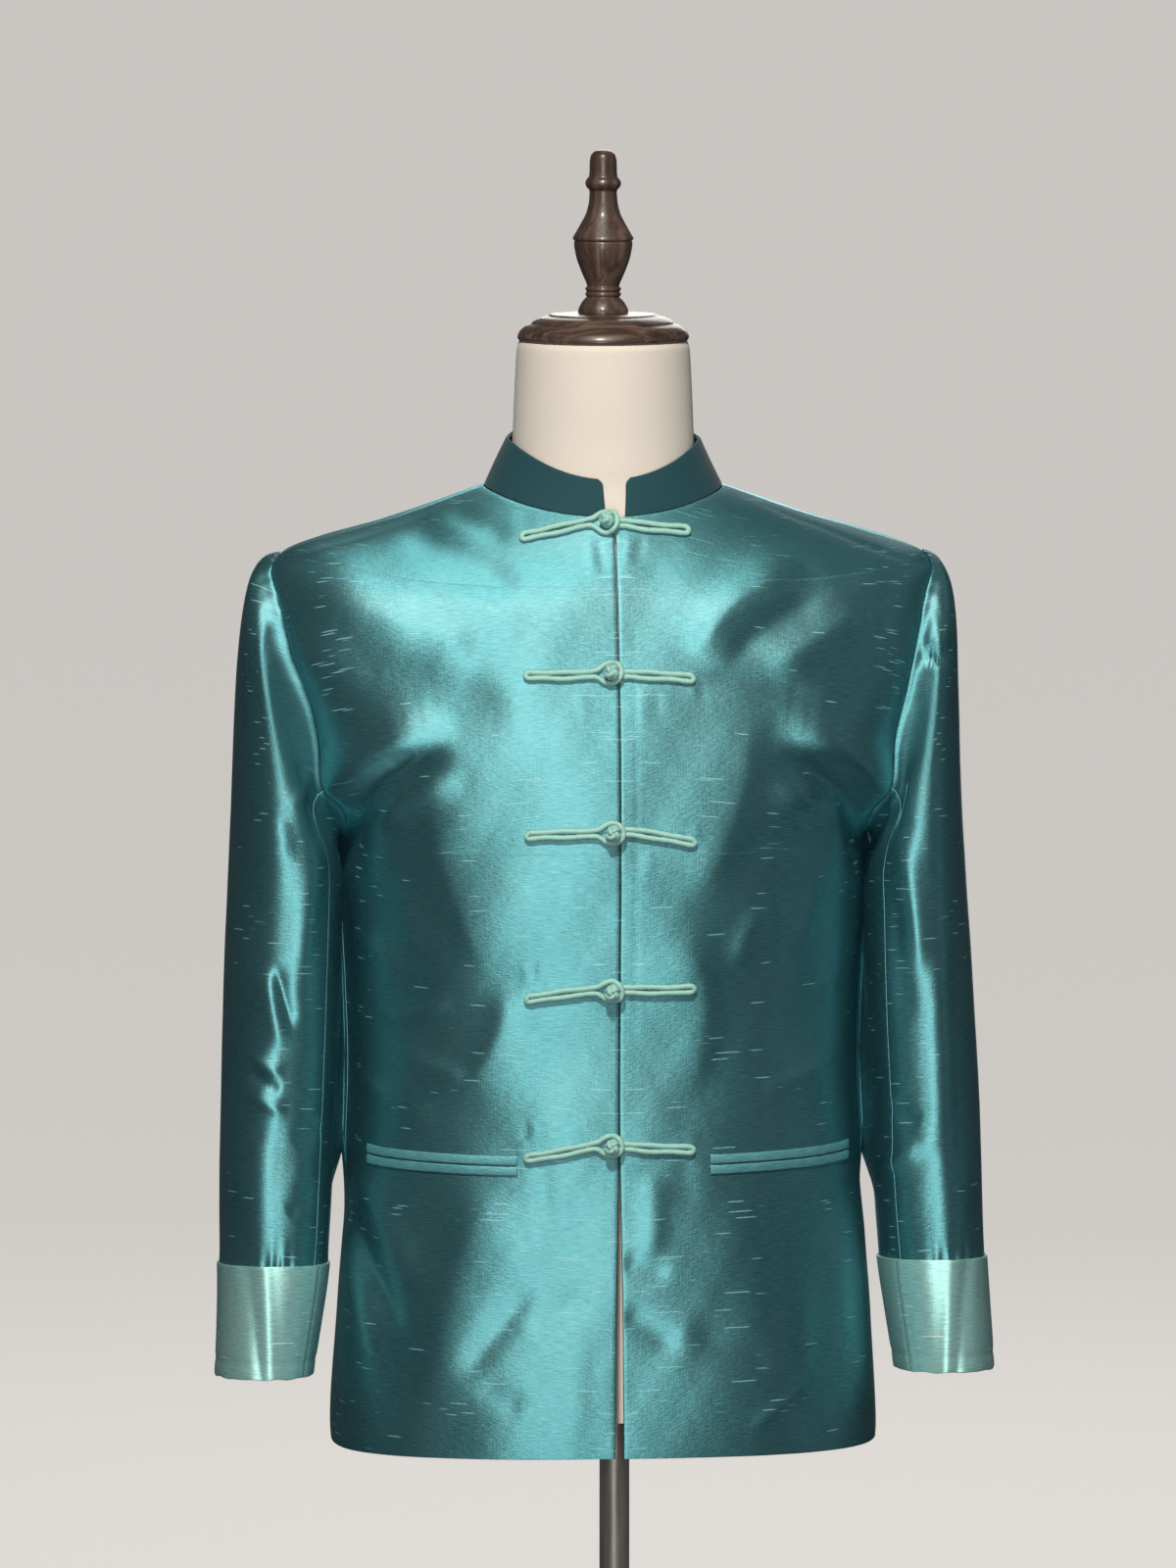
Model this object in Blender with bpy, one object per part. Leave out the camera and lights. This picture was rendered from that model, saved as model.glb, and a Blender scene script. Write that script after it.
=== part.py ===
"""A silk jacket with a mandarin collar, on a limbless dress form with a turned wooden neck cap.

Metres, +Z up. The origin is the middle of the stand's foot, on the floor. The jacket faces -Y, and +X is
the wearer's left. The jacket's pieces are walls of cloth on three surfaces, each a function of two
parameters: the body (angle round it, and a row of a table of sections), the sleeve (angle round it, and the
way down it) and the collar. Neighbouring pieces are cut from one surface, so their seams fit.
"""

import math

import bmesh
import bpy
import numpy as np
from mathutils.bvhtree import BVHTree

MM = 0.001

# Driving sizes
CLOTH = 1.4 * MM
COLLAR_CLOTH = 2.4 * MM
CUFF_CLOTH = 1.8 * MM
SEAM = 0.3 * MM
ARMHOLE_SEAM = 0.6 * MM
LAID_ON = 0.3 * MM

# Sections of the jacket body, from the hem to the neck seam, in millimetres. The side, front and back heights
# differ where a ring tips, ease is the room between the cloth and the dress form, and square is the exponent
# of the superellipse that the section follows.
BODY_COLUMNS = ("side_z", "half_width", "front_z", "front_depth", "back_z", "back_depth", "square", "ease")
BODY_ROWS = {
    "hem": (497, 193, 503, 127, 499, 121, 2.3, 34),
    "skirt": (580, 186, 583, 126, 581, 117, 2.3, 28),
    "pocket": (706, 177, 706, 123, 706, 109, 2.35, 20),
    "waist": (772, 174, 772, 121, 772, 105, 2.35, 15),
    "ribs": (850, 177, 850, 128, 850, 112, 2.35, 14),
    "armpit": (922, 183, 921, 133, 922, 124, 2.4, 13),
    "chest": (975, 201, 970, 130, 975, 130, 2.5, 10),
    "armhole": (1030, 219, 1018, 122, 1032, 130, 2.6, 6),
    "shoulder_blade": (1080, 229, 1062, 110, 1084, 119, 2.6, 3),
    "shoulder": (1104, 230.5, 1088, 101, 1112, 106, 2.6, 2.4),
    "shoulder_point": (1116, 222, 1101, 94, 1126, 97, 2.5, 1.4),
    "yoke": (1137.5, 156, 1121, 80, 1149, 84, 2.3, 0.8),
    "neck": (1163, 82.5, 1146, 66, 1171, 71, 2.1, 7),
}
ROW_NAMES = list(BODY_ROWS)
ARMPIT_ROW = ROW_NAMES.index("armpit")
SHOULDER_ROW = ROW_NAMES.index("shoulder_point")
NECK_ROW = ROW_NAMES.index("neck")

# The armhole's reach forwards and backwards from the side line, and how much wider it is low down
ARMHOLE_FRONT = 56 * MM
ARMHOLE_BACK = 60 * MM
ARMHOLE_EGG = 0.28

# Where the fronts and the collar's ends meet, and half the gap between the front edges, by height
CENTRE_X = 3.5 * MM
EDGE_GAP_Z = (495, 600, 690, 715, 1120, 1150)
EDGE_GAP_HALF = (3.0, 2.2, 0.6, 0.2, 0.2, 3.2)

# Sections of the sleeve from the upper arm to its end, in millimetres, on the wearer's left. slope is how
# far a ring's front edge is lifted for each unit that it lies forward.
SLEEVE_COLUMNS = ("z", "outer_x", "inner_x", "half_depth", "middle_y", "slope")
SLEEVE_ROWS = {
    "upper_arm": (888, 257.5, 181.0, 74, 4, 0.00),
    "above_elbow": (820, 261.5, 182.5, 71, 4, 0.02),
    "elbow": (750, 264.0, 185.0, 68, 1, 0.05),
    "forearm": (685, 266.0, 188.5, 64, -5, 0.08),
    "wrist": (624, 267.0, 193.5, 60, -11, 0.10),
    "end": (546, 270.0, 205.0, 55, -17, 0.09),
}
SLEEVE_SQUARE = 2.15
SLEEVE_NAMES = list(SLEEVE_ROWS)
WRIST_ROW = SLEEVE_NAMES.index("wrist")
SLEEVE_END = len(SLEEVE_ROWS) - 1
CUFF_TUCK = 0.16
HEAD_REACH = {1: 27 * MM, -1: 35 * MM}
HEAD_SHARE = 0.34
FULLER_OUTSIDE = {1: -4.5, -1: 3.0}
DROP_SHARE = 0.58

# The collar's upper edge, in millimetres, in the same terms as the body's rows, and half its gap in front
COLLAR_TOP = (1196.5, 66.8, 1172.0, 63.5, 1212.0, 67.0, 2.05, 0)
COLLAR_GAP_LOW = 5.4 * MM
COLLAR_GAP_HIGH = 8.0 * MM

# Folds of the cloth, in millimetres as seen from the front or the back: a soft ridge (or a trough, where
# height is below 0) along a line, fading at both ends
FOLD_COLUMNS = ("face", "x1", "z1", "x2", "z2", "width", "height")
BODY_FOLDS = {
    "armpit_break_right": ("front", -188, 952, -112, 1000, 15, 6.0),
    "armpit_dip_right": ("front", -180, 915, -112, 978, 17, -7.5),
    "armpit_break_left": ("front", 184, 952, 112, 992, 16, 5.5),
    "armpit_dip_left": ("front", 176, 912, 118, 972, 18, -7.0),
    "shoulder_drape_right": ("front", -190, 1080, -70, 1010, 22, 2.6),
    "shoulder_hollow_right": ("front", -170, 1050, -90, 990, 24, -2.4),
    "shoulder_drape_left": ("front", 190, 1062, 40, 1030, 18, 2.6),
    "chest_hollow_left": ("front", 170, 1085, 60, 1060, 18, -2.2),
    "collar_drape_right": ("front", -100, 1128, -40, 1096, 15, 2.4),
    "collar_drape_left": ("front", 60, 1135, 130, 1090, 16, 2.2),
    "side_drop_right": ("front", -128, 900, -118, 745, 20, -3.5),
    "side_ridge_right": ("front", -98, 915, -86, 740, 20, 2.6),
    "side_drop_left": ("front", 122, 900, 116, 735, 22, -3.6),
    "side_ridge_left": ("front", 88, 905, 92, 745, 20, 2.4),
    "skirt_ridge_right": ("front", -150, 690, -158, 420, 24, 4.0),
    "skirt_hollow_right": ("front", -108, 680, -112, 420, 26, -3.5),
    "skirt_ridge_left": ("front", 150, 680, 160, 420, 24, 4.0),
    "skirt_hollow_left": ("front", 104, 670, 100, 420, 26, -3.0),
    "blade_drape_right": ("back", -185, 1050, -75, 985, 24, 3.0),
    "blade_drape_left": ("back", 185, 1056, 80, 980, 24, 2.6),
    "back_arm_dip_right": ("back", -176, 940, -120, 985, 18, -4.0),
    "back_arm_dip_left": ("back", 176, 936, 116, 990, 18, -4.4),
    "back_drop_right": ("back", -92, 900, -84, 420, 28, 3.6),
    "back_drop_left": ("back", 88, 890, 98, 420, 28, 3.2),
    "back_hollow": ("back", 2, 880, -4, 560, 36, -3.8),
}
SLEEVE_FOLDS = {
    "head_dent": ("front", 216, 1040, 256, 1046, 10, -3.0),
    "front_crease": ("front", 222, 960, 236, 640, 18, 3.0),
    "elbow_dip": ("front", 250, 790, 206, 742, 16, -3.2),
    "elbow_ridge": ("front", 252, 752, 204, 706, 14, 2.0),
    "wrist_dip": ("front", 262, 690, 214, 652, 14, -2.2),
    "under_break": ("front", 206, 930, 236, 868, 14, -3.4),
    "back_crease": ("back", 224, 960, 236, 650, 18, 2.6),
    "back_elbow_dip": ("back", 252, 800, 206, 764, 16, -3.4),
    "back_forearm_dip": ("back", 254, 722, 210, 690, 15, -2.6),
    "back_under_break": ("back", 204, 940, 240, 890, 15, -3.0),
}

# Pockets with two welts, in millimetres
POCKET_Z = 706
POCKET_INNER_X = 66
POCKET_OUTER_X = 166
POCKET_MOUTH = 0.9 * MM
WELT_WIDTH = 6.4 * MM
WELT_CLOTH = 1.3 * MM

# Frog closures: the height of each knot, and how far its two ends hang below it, in millimetres
FROG_COLUMNS = ("z", "right_drop", "left_drop")
FROG_ROWS = {
    1: (1141.5, 9, 6),
    2: (1043, 1, 4),
    3: (937, 3, 7),
    4: (828, 6, -1),
    5: (720, 8, 4),
}
FROG_REACH = {-1: 58 * MM, 1: 56 * MM}
FROG_X = -2 * MM
CORD_R = 1.9 * MM
STRAND_APART = 4.0 * MM
CORD_CLEAR = 0.4 * MM
KNOT_R = 5.0 * MM
KNOT_LIFT = 7.9 * MM
LOOP_R = 7.5 * MM
STRAIGHT = 12 * MM

# Dress form and stand. The pole meets the form a little off its middle.
FIGURE_X = -8 * MM
FORM_FOOT_Z = 522 * MM
NECK_TOP_Z = 1262.7 * MM
NECK_ROWS = ((1176, 63.5, 60, 62), (1200, 62.5, 59, 61), (1235, 61, 59.5, 60), (1258, 59.6, 59.6, 59.6))
CAP_Z = 1263 * MM
CAP_PROFILE = ((0, 0), (57.6, 0), (59.2, 1.4), (59.2, 3.4), (57.4, 7.0), (53.4, 10.2), (49.2, 11.9), (48.4, 13.2),
               (43.6, 15.8), (37.6, 17.2), (36.6, 18.3), (26.0, 18.8), (0, 18.8))
FINIAL_Z = 1282.1 * MM
FINIAL_PROFILE = ((0, 0), (17.4, 0), (17.0, 3.0), (15.0, 7.0), (12.2, 10.4), (11.2, 11.0), (12.4, 12.4),
                  (12.2, 13.9), (11.2, 14.6), (12.4, 15.9), (12.2, 17.4), (11.0, 18.2), (11.6, 20.4), (15.0, 28.0),
                  (18.4, 37.0), (20.0, 45.0), (20.2, 48.6), (19.6, 49.4), (21.0, 50.8), (20.8, 52.2), (19.4, 54.6),
                  (15.6, 61.2), (11.9, 68.0), (10.0, 75.0), (9.4, 82.4), (9.6, 84.6), (11.4, 86.2), (12.6, 89.2),
                  (11.4, 92.2), (9.5, 94.0), (9.4, 104.6), (8.3, 109.2), (5.2, 111.6), (0, 112.2))
POLE_R = 10.5 * MM
BASE_R = 145 * MM
BASE_THICK = 8 * MM
BASE_EDGE = 3 * MM
BOSS_R = 21 * MM
BOSS_TALL = 26 * MM

# How finely the surfaces are cut into faces
ROWS_BELOW = 10
ROWS_ARMHOLE = 12
ROWS_YOKE = 4
FRONT_COLUMNS = 11
BACK_COLUMNS = 20
HEAD_RINGS = 7
TUBE_RINGS = 9
CUFF_RINGS = 4
TOP_SLEEVE = (-8, 9)
TURNED_ROUND = 18
CORD_SIDES = 6

COLOURS = {
    "silk": (0.055, 0.30, 0.34, 1.0),
    "collar_cloth": (0.02, 0.115, 0.135, 1.0),
    "cuff_silk": (0.30, 0.62, 0.56, 1.0),
    "frog_cord": (0.36, 0.66, 0.61, 1.0),
    "form_linen": (0.76, 0.69, 0.63, 1.0),
    "turned_wood": (0.045, 0.022, 0.016, 1.0),
    "steel": (0.55, 0.55, 0.56, 1.0),
    "base_steel": (0.05, 0.05, 0.052, 1.0),
}
ROUGHNESS = {"silk": 0.38, "cuff_silk": 0.4, "turned_wood": 0.25, "steel": 0.22, "base_steel": 0.4}
METALLIC = {"steel": 1.0, "base_steel": 0.8}


def smooth_rows(table, place):
    """Each column of a table, read at a row number that may lie between rows, with no overshoot.
    Slopes at the rows are the harmonic mean of the slopes on both sides, or 0 at a turning point."""
    values = np.array(list(table.values()), float)
    steps = np.diff(values, axis=0)
    slopes = np.zeros_like(values)
    before, after = steps[:-1], steps[1:]
    agree = before * after > 0
    slopes[1:-1][agree] = (2 * before * after)[agree] / (before + after)[agree]
    slopes[0], slopes[-1] = steps[0], steps[-1]
    place = np.clip(np.asarray(place, float), 0, len(values) - 1)
    low = np.minimum(place.astype(int), len(values) - 2)
    f = (place - low)[..., None]
    return (
        values[low] * (2 * f**3 - 3 * f**2 + 1)
        + slopes[low] * (f**3 - 2 * f**2 + f)
        + values[low + 1] * (3 * f**2 - 2 * f**3)
        + slopes[low + 1] * (f**3 - f**2)
    )


def ring_point(row, angle):
    """A point of a tipped superellipse. row holds BODY_COLUMNS in millimetres; angle is 0 in front, a
    quarter turn on the wearer's left, and half a turn at the back."""
    side_z, half, front_z, front, back_z, back, square = (row[..., i] for i in range(7))
    s, c = np.sin(angle), np.cos(angle)
    k = (np.abs(s) ** square + np.abs(c) ** square) ** (-1 / square)
    ahead = c > 0
    x = half * s * k
    y = -np.where(ahead, front, back) * c * k
    z = side_z + (np.where(ahead, front_z, back_z) - side_z) * (c * k) ** 2
    return np.stack([x, y, z], -1) * MM


def angle_at(row, across, ahead=True):
    """The angle on a ring where it lies the distance across (metres) to the side (True) or forwards."""
    square = row[..., 6]
    side = ahead is True
    full = row[..., 1] if side else np.where(ahead == "front", row[..., 3], row[..., 5])
    share = np.clip(np.abs(across) / (full * MM), 0, 1)
    other = (1 - share**square) ** (1 / square)
    if side:
        return np.arctan2(share, other) * np.sign(across)
    turned = np.arctan2(other, share)
    return turned if ahead == "front" else math.pi - turned


def unit(v):
    return v / np.maximum(np.linalg.norm(v, axis=-1, keepdims=True), 1e-12)


def surface_normal(surface, a, b, step=2e-3):
    """The outward normal of surface(a, b), from short differences both ways."""
    across = surface(a + step, b) - surface(a - step, b)
    along = surface(a, b + step) - surface(a, b - step)
    return unit(np.cross(across, along))


def fold_height(point, folds):
    """How far the cloth stands out at each point: for each fold, height * exp(-(d / width)^2) across its
    line, times a half sine along it that is widened past both ends."""
    x, y, z = point[..., 0] / MM, point[..., 1], point[..., 2] / MM
    total = np.zeros_like(x)
    for face, x1, z1, x2, z2, width, height in folds.values():
        length = math.hypot(x2 - x1, z2 - z1)
        ux, uz = (x2 - x1) / length, (z2 - z1) / length
        along = (x - x1) * ux + (z - z1) * uz
        across = (x - x1) * uz - (z - z1) * ux
        margin = 0.8 * width
        share = np.clip((along + margin) / (length + 2 * margin), 0, 1)
        facing = np.clip(-y / 0.05, 0, 1) if face == "front" else np.clip(y / 0.05, 0, 1)
        total += height * np.exp(-((across / width) ** 2)) * np.sin(math.pi * share) ** 0.7 * facing
    return total * MM


def folded(surface, folds):
    """The same surface, moved out along its normal by its folds."""

    def moved(a, b):
        point = surface(a, b)
        return point + surface_normal(surface, a, b) * fold_height(point, folds)[..., None]

    return moved


def plain_body(angle, row):
    return ring_point(smooth_rows(BODY_ROWS, row), angle)


body = folded(plain_body, BODY_FOLDS)


def row_at_height(z, angle=0.0):
    """The row number where the plain body, at one angle, has the height z."""
    low, high = 0.0, float(NECK_ROW)
    for _ in range(40):
        middle = (low + high) / 2
        if plain_body(np.array(angle), np.array(middle))[2] < z:
            low = middle
        else:
            high = middle
    return (low + high) / 2


def armhole_rows():
    """The row numbers that cross the armhole, closer together at its two ends."""
    share = (1 - np.cos(np.linspace(0, math.pi, ROWS_ARMHOLE + 1))) / 2
    return ARMPIT_ROW + (SHOULDER_ROW - ARMPIT_ROW) * share


def armhole_place(turn):
    """The body's angle and row on the armhole. turn is 0 at the shoulder point, a quarter in front, a
    half at the armpit and three quarters at the back. On the wearer's left."""
    a = 2 * math.pi * np.asarray(turn, float)
    row = ARMPIT_ROW + (SHOULDER_ROW - ARMPIT_ROW) * (1 + np.cos(a)) / 2
    reach = np.sin(a) * (1 - ARMHOLE_EGG * np.cos(a))
    section = smooth_rows(BODY_ROWS, row)
    front = angle_at(section, reach * ARMHOLE_FRONT, "front")
    back = angle_at(section, reach * ARMHOLE_BACK, "back")
    return np.where(reach >= 0, front, back), row


def sleeve_ring(turn, row, fuller=0.0):
    """A ring of the sleeve's tube on the wearer's left, by the same turn as the armhole's. fuller moves
    its outer side out at the upper arm."""
    z, outer, inner, deep, middle, slope = np.moveaxis(smooth_rows(SLEEVE_ROWS, row), -1, 0)
    outer = outer + fuller * (1 - row / SLEEVE_END)
    a = 2 * math.pi * turn
    s, c = np.sin(a), np.cos(a)
    k = (np.abs(s) ** SLEEVE_SQUARE + np.abs(c) ** SLEEVE_SQUARE) ** (-1 / SLEEVE_SQUARE)
    x = (outer + inner) / 2 + (outer - inner) / 2 * c * k
    ahead = -deep * s * k
    return np.stack([x, middle + ahead, z - slope * ahead], -1) * MM


def mirrored(surface):
    """The same surface on the other side of the wearer."""
    return lambda a, b: surface(a, b) * np.array([-1.0, 1.0, 1.0])


def sleeve(side):
    """The sleeve's surface on one side, with its folds. way runs from -1 at the armhole to 0 at the upper
    arm, and on by the rows of its table. The head is a cubic curve from each point of the armhole to the
    ring below."""
    flip = np.array([side, 1.0, 1.0])
    fuller = FULLER_OUTSIDE[side]

    def plain(turn, way):
        turn, way = np.broadcast_arrays(np.asarray(turn, float), np.asarray(way, float))
        angle, row = armhole_place(turn)
        start = body(angle * side, row) * flip + np.array([ARMHOLE_SEAM, 0, 0])
        a = 2 * math.pi * turn
        high = (1 + np.cos(a)) / 2
        leave = unit(np.stack([0.62 + 0.38 * high, -0.30 * np.sin(a), -0.72 + 0.98 * high], -1))
        ring = sleeve_ring(turn, np.zeros_like(turn), fuller)
        arrive = unit(sleeve_ring(turn, np.full_like(turn, 0.1), fuller) - ring)
        apart = np.linalg.norm(ring - start, axis=-1, keepdims=True)
        first = start + leave * np.minimum(HEAD_REACH[side], HEAD_SHARE * apart)
        second = ring - arrive * DROP_SHARE * apart
        f = np.clip(way + 1, 0, 1)[..., None]
        head = (1 - f) ** 3 * start + 3 * f * (1 - f) ** 2 * first + 3 * f**2 * (1 - f) * second + f**3 * ring
        return np.where((way < 0)[..., None], head, sleeve_ring(turn, np.maximum(way, 0), fuller))

    shape = folded(plain, SLEEVE_FOLDS)
    return shape if side > 0 else mirrored(shape)


def collar(angle, height):
    """The collar: straight up and inwards from the neck seam (0) to its upper edge (1)."""
    low = smooth_rows(BODY_ROWS, float(NECK_ROW)) + np.array([0.4, 0, 0.4, 0, 0.4, 0, 0, 0])
    high = np.array(COLLAR_TOP, float)
    h = np.asarray(height, float)[..., None]
    angle, _ = np.broadcast_arrays(np.asarray(angle, float), h[..., 0])
    return ring_point(low + (high - low) * h, angle)


def wall(outer, inner, closed=False):
    """Vertices and faces of a closed wall between two grids of points, [along, round, xyz]. A closed one
    is a tube, and the last column joins the first."""
    rows, columns = outer.shape[:2]
    count = rows * columns

    def at(layer, i, j):
        return layer * count + i * columns + j % columns

    faces = []
    for i in range(rows - 1):
        for j in range(columns if closed else columns - 1):
            faces.append((at(0, i, j), at(0, i, j + 1), at(0, i + 1, j + 1), at(0, i + 1, j)))
            faces.append((at(1, i, j), at(1, i + 1, j), at(1, i + 1, j + 1), at(1, i, j + 1)))
    for j in range(columns if closed else columns - 1):
        last = rows - 1
        faces.append((at(0, 0, j + 1), at(0, 0, j), at(1, 0, j), at(1, 0, j + 1)))
        faces.append((at(0, last, j), at(0, last, j + 1), at(1, last, j + 1), at(1, last, j)))
    if not closed:
        for i in range(rows - 1):
            last = columns - 1
            faces.append((at(0, i, 0), at(0, i + 1, 0), at(1, i + 1, 0), at(1, i, 0)))
            faces.append((at(0, i + 1, last), at(0, i, last), at(1, i, last), at(1, i + 1, last)))
    return np.concatenate([outer.reshape(-1, 3), inner.reshape(-1, 3)]), faces


def lathe(rings):
    """Vertices and faces of a solid whose rings, [along, round, xyz], are closed by a flat face at each end."""
    rows, columns = rings.shape[:2]
    faces = [tuple(range(columns)), tuple((rows - 1) * columns + j for j in range(columns))]
    for i in range(rows - 1):
        for j in range(columns):
            k = (j + 1) % columns
            faces.append((i * columns + j, i * columns + k, (i + 1) * columns + k, (i + 1) * columns + j))
    return rings.reshape(-1, 3), faces


def material(name):
    made = bpy.data.materials.get(name)
    if made is None:
        made = bpy.data.materials.new(name)
        made.use_nodes = True
        shader = made.node_tree.nodes["Principled BSDF"]
        shader.inputs["Base Color"].default_value = COLOURS[name]
        shader.inputs["Roughness"].default_value = ROUGHNESS.get(name, 0.8)
        shader.inputs["Metallic"].default_value = METALLIC.get(name, 0.0)
    return made


def piece(name, shape, finish, parent):
    """One named object from vertices and faces, with its faces turned outwards."""
    points, faces = shape
    mesh = bpy.data.meshes.new(name)
    mesh.from_pydata([tuple(map(float, p)) for p in points], [], faces)
    work = bmesh.new()
    work.from_mesh(mesh)
    bmesh.ops.remove_doubles(work, verts=work.verts, dist=1e-6)
    bmesh.ops.recalc_face_normals(work, faces=work.faces)
    work.to_mesh(mesh)
    work.free()
    mesh.shade_smooth()
    mesh.set_sharp_from_angle(angle=math.radians(50))
    mesh.materials.append(material(finish))
    made = bpy.data.objects.new(name, mesh)
    bpy.context.scene.collection.objects.link(made)
    made.parent = parent
    return made


def united(made, other):
    """Joins another object to this one, which keeps its name."""
    join = made.modifiers.new("join", "BOOLEAN")
    join.operation = "UNION"
    join.object = other
    evaluated = made.evaluated_get(bpy.context.evaluated_depsgraph_get())
    whole = bpy.data.meshes.new_from_object(evaluated)
    made.modifiers.clear()
    made.data = whole
    bpy.data.objects.remove(other)


def cloth_wall(surface, a, b, thick, lift=0.0, closed=False):
    """A wall of cloth whose outer side is surface(a, b), lifted off it by lift, and thick deep."""
    point, normal = surface(a, b), surface_normal(surface, a, b)
    side = 1.0 if np.sum(normal * (point - point.mean((0, 1)))) > 0 else -1.0
    normal = normal * side
    return wall(point + normal * lift, point + normal * (lift - thick), closed)


def trimmed(low, high, columns, surface, row):
    """Angles from low to high for each row, in even steps, each end held back by half a seam."""
    share = np.linspace(0, 1, columns + 1)[None, :]
    pace = np.linalg.norm(surface(low + 0.01, row) - surface(low, row), axis=-1) / 0.01
    low = low + SEAM / 2 / pace
    pace = np.linalg.norm(surface(high, row) - surface(high - 0.01, row), axis=-1) / 0.01
    high = high - SEAM / 2 / pace
    return low[:, None] + (high - low)[:, None] * share


def panel_rows():
    """The row numbers of the front and back panels, from the hem to the neck seam."""
    below = np.linspace(0, ARMPIT_ROW, ROWS_BELOW + 1)[:-1]
    above = np.linspace(SHOULDER_ROW, NECK_ROW, ROWS_YOKE + 1)[1:]
    return np.concatenate([below, armhole_rows(), above])


def side_angles(rows, face):
    """Where the front or back panel ends on the wearer's left: side seam, armhole, then shoulder seam."""
    share = np.clip((rows - ARMPIT_ROW) / (SHOULDER_ROW - ARMPIT_ROW), 0, 1)
    turn = np.arccos(np.clip(2 * share - 1, -1, 1)) / (2 * math.pi)
    angle, _ = armhole_place(turn if face == "front" else 1 - turn)
    return angle


def front_grid(side):
    """The angles and rows of one front's corners."""
    rows = panel_rows()
    section = smooth_rows(BODY_ROWS, rows)
    gap = np.interp(section[:, 2], EDGE_GAP_Z, EDGE_GAP_HALF) * MM
    share = np.linspace(0, 1, FRONT_COLUMNS + 1)[None, :]
    edge = angle_at(section, gap + side * CENTRE_X)
    high = trimmed(edge, side_angles(rows, "front"), 1, plain_body, rows)[:, 1]
    angles = edge[:, None] + (high - edge)[:, None] * share
    return angles * side, np.broadcast_to(rows[:, None], angles.shape)


def front_panel(side):
    return cloth_wall(body, *front_grid(side), CLOTH)


def back_panel():
    rows = panel_rows()
    low = side_angles(rows, "back")
    angles = trimmed(low, 2 * math.pi - low, BACK_COLUMNS, plain_body, rows)
    return cloth_wall(body, angles, np.broadcast_to(rows[:, None], angles.shape), CLOTH)


def sleeve_part(side, first, last):
    """The sleeve between two of its columns. Its columns are the armhole's points, so the seam fits."""
    around = 2 * ROWS_ARMHOLE
    turns = np.arange(first, last + 1) / around
    trim = SEAM / 2 / 0.4
    turns[0], turns[-1] = turns[0] + trim, turns[-1] - trim
    head = np.linspace(-1, 0, HEAD_RINGS + 1)[:-1]
    tube = np.linspace(0, WRIST_ROW + CUFF_TUCK, TUBE_RINGS + 1)
    ways = np.concatenate([head, tube])
    turns, ways = np.meshgrid(turns, ways)
    return cloth_wall(sleeve(side), turns, ways, CLOTH)


def cuff(side):
    """The cuff is a tube just outside the end of the sleeve, from the wrist to its lower edge."""
    turns = np.arange(2 * ROWS_ARMHOLE) / (2 * ROWS_ARMHOLE)
    turns, ways = np.meshgrid(turns, np.linspace(WRIST_ROW, SLEEVE_END, CUFF_RINGS + 1))
    return cloth_wall(sleeve(side), turns, ways, CUFF_CLOTH, CUFF_CLOTH + LAID_ON, True)


def collar_band():
    heights = np.linspace(0, 1, 4)
    gap = COLLAR_GAP_LOW + (COLLAR_GAP_HIGH - COLLAR_GAP_LOW) * heights
    radius = -collar(np.zeros(4), heights)[:, 1]
    low, high = (CENTRE_X + gap) / radius, 2 * math.pi + (CENTRE_X - gap) / radius
    share = np.linspace(0, 1, 29)[None, :]
    angles = low[:, None] + (high - low)[:, None] * share
    return cloth_wall(collar, angles, np.broadcast_to(heights[:, None], angles.shape), COLLAR_CLOTH)


class Front:
    """The outer side of one front's faces, to lay things on."""

    def __init__(self, side):
        grid = body(*front_grid(side))
        rows, columns = grid.shape[:2]
        corners = [(i * columns + j, i * columns + j + 1, i * columns + columns + j + 1, i * columns + columns + j)
                   for i in range(rows - 1) for j in range(columns - 1)]
        self.side = side
        self.grid = grid
        self.tree = BVHTree.FromPolygons([tuple(map(float, p)) for p in grid.reshape(-1, 3)], corners)

    def hit(self, x, z):
        """The point of the front straight behind (x, z), which is also given a little past its two edges."""
        edge = CENTRE_X + (EDGE_GAP_HALF[-1] * MM + SEAM) * self.side
        inside = max(x * self.side, edge * self.side) * self.side
        found = self.tree.ray_cast((inside, -1, min(z, self.grid[-1, 0, 2] - MM)), (0, 1, 0))[0]
        return np.array((x, found[1], z))

    def place(self, x, z, lift, reach=4 * MM):
        """A point lifted off the front at (x, z), and the normal there, from its slopes over a short reach."""
        near = min(z, self.grid[-1, 0, 2] - MM - reach)
        across = self.hit(x + reach, near) - self.hit(x - reach, near)
        along = self.hit(x, near + reach) - self.hit(x, near - reach)
        normal = unit(np.cross(across, along))
        return self.hit(x, z) + normal * lift, normal


def welt(front, low, high):
    """A strip along the pocket's mouth, from the height low to high above it, bent where the panel is."""
    mouth_row = front.grid[np.argmin(np.abs(front.grid[:, 0, 2] - POCKET_Z * MM))]
    bends = [abs(x) for x in mouth_row[:, 0] if POCKET_INNER_X + 2 < abs(x) / MM < POCKET_OUTER_X - 2]
    outer, inner = [], []
    for x in [POCKET_INNER_X * MM] + bends + [POCKET_OUTER_X * MM]:
        for grid, lift in ((outer, LAID_ON + WELT_CLOTH), (inner, LAID_ON)):
            grid.append([front.place(x * front.side, POCKET_Z * MM + h, lift, 1.5 * MM)[0] for h in (low, high)])
    return wall(np.array(outer), np.array(inner))


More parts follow.
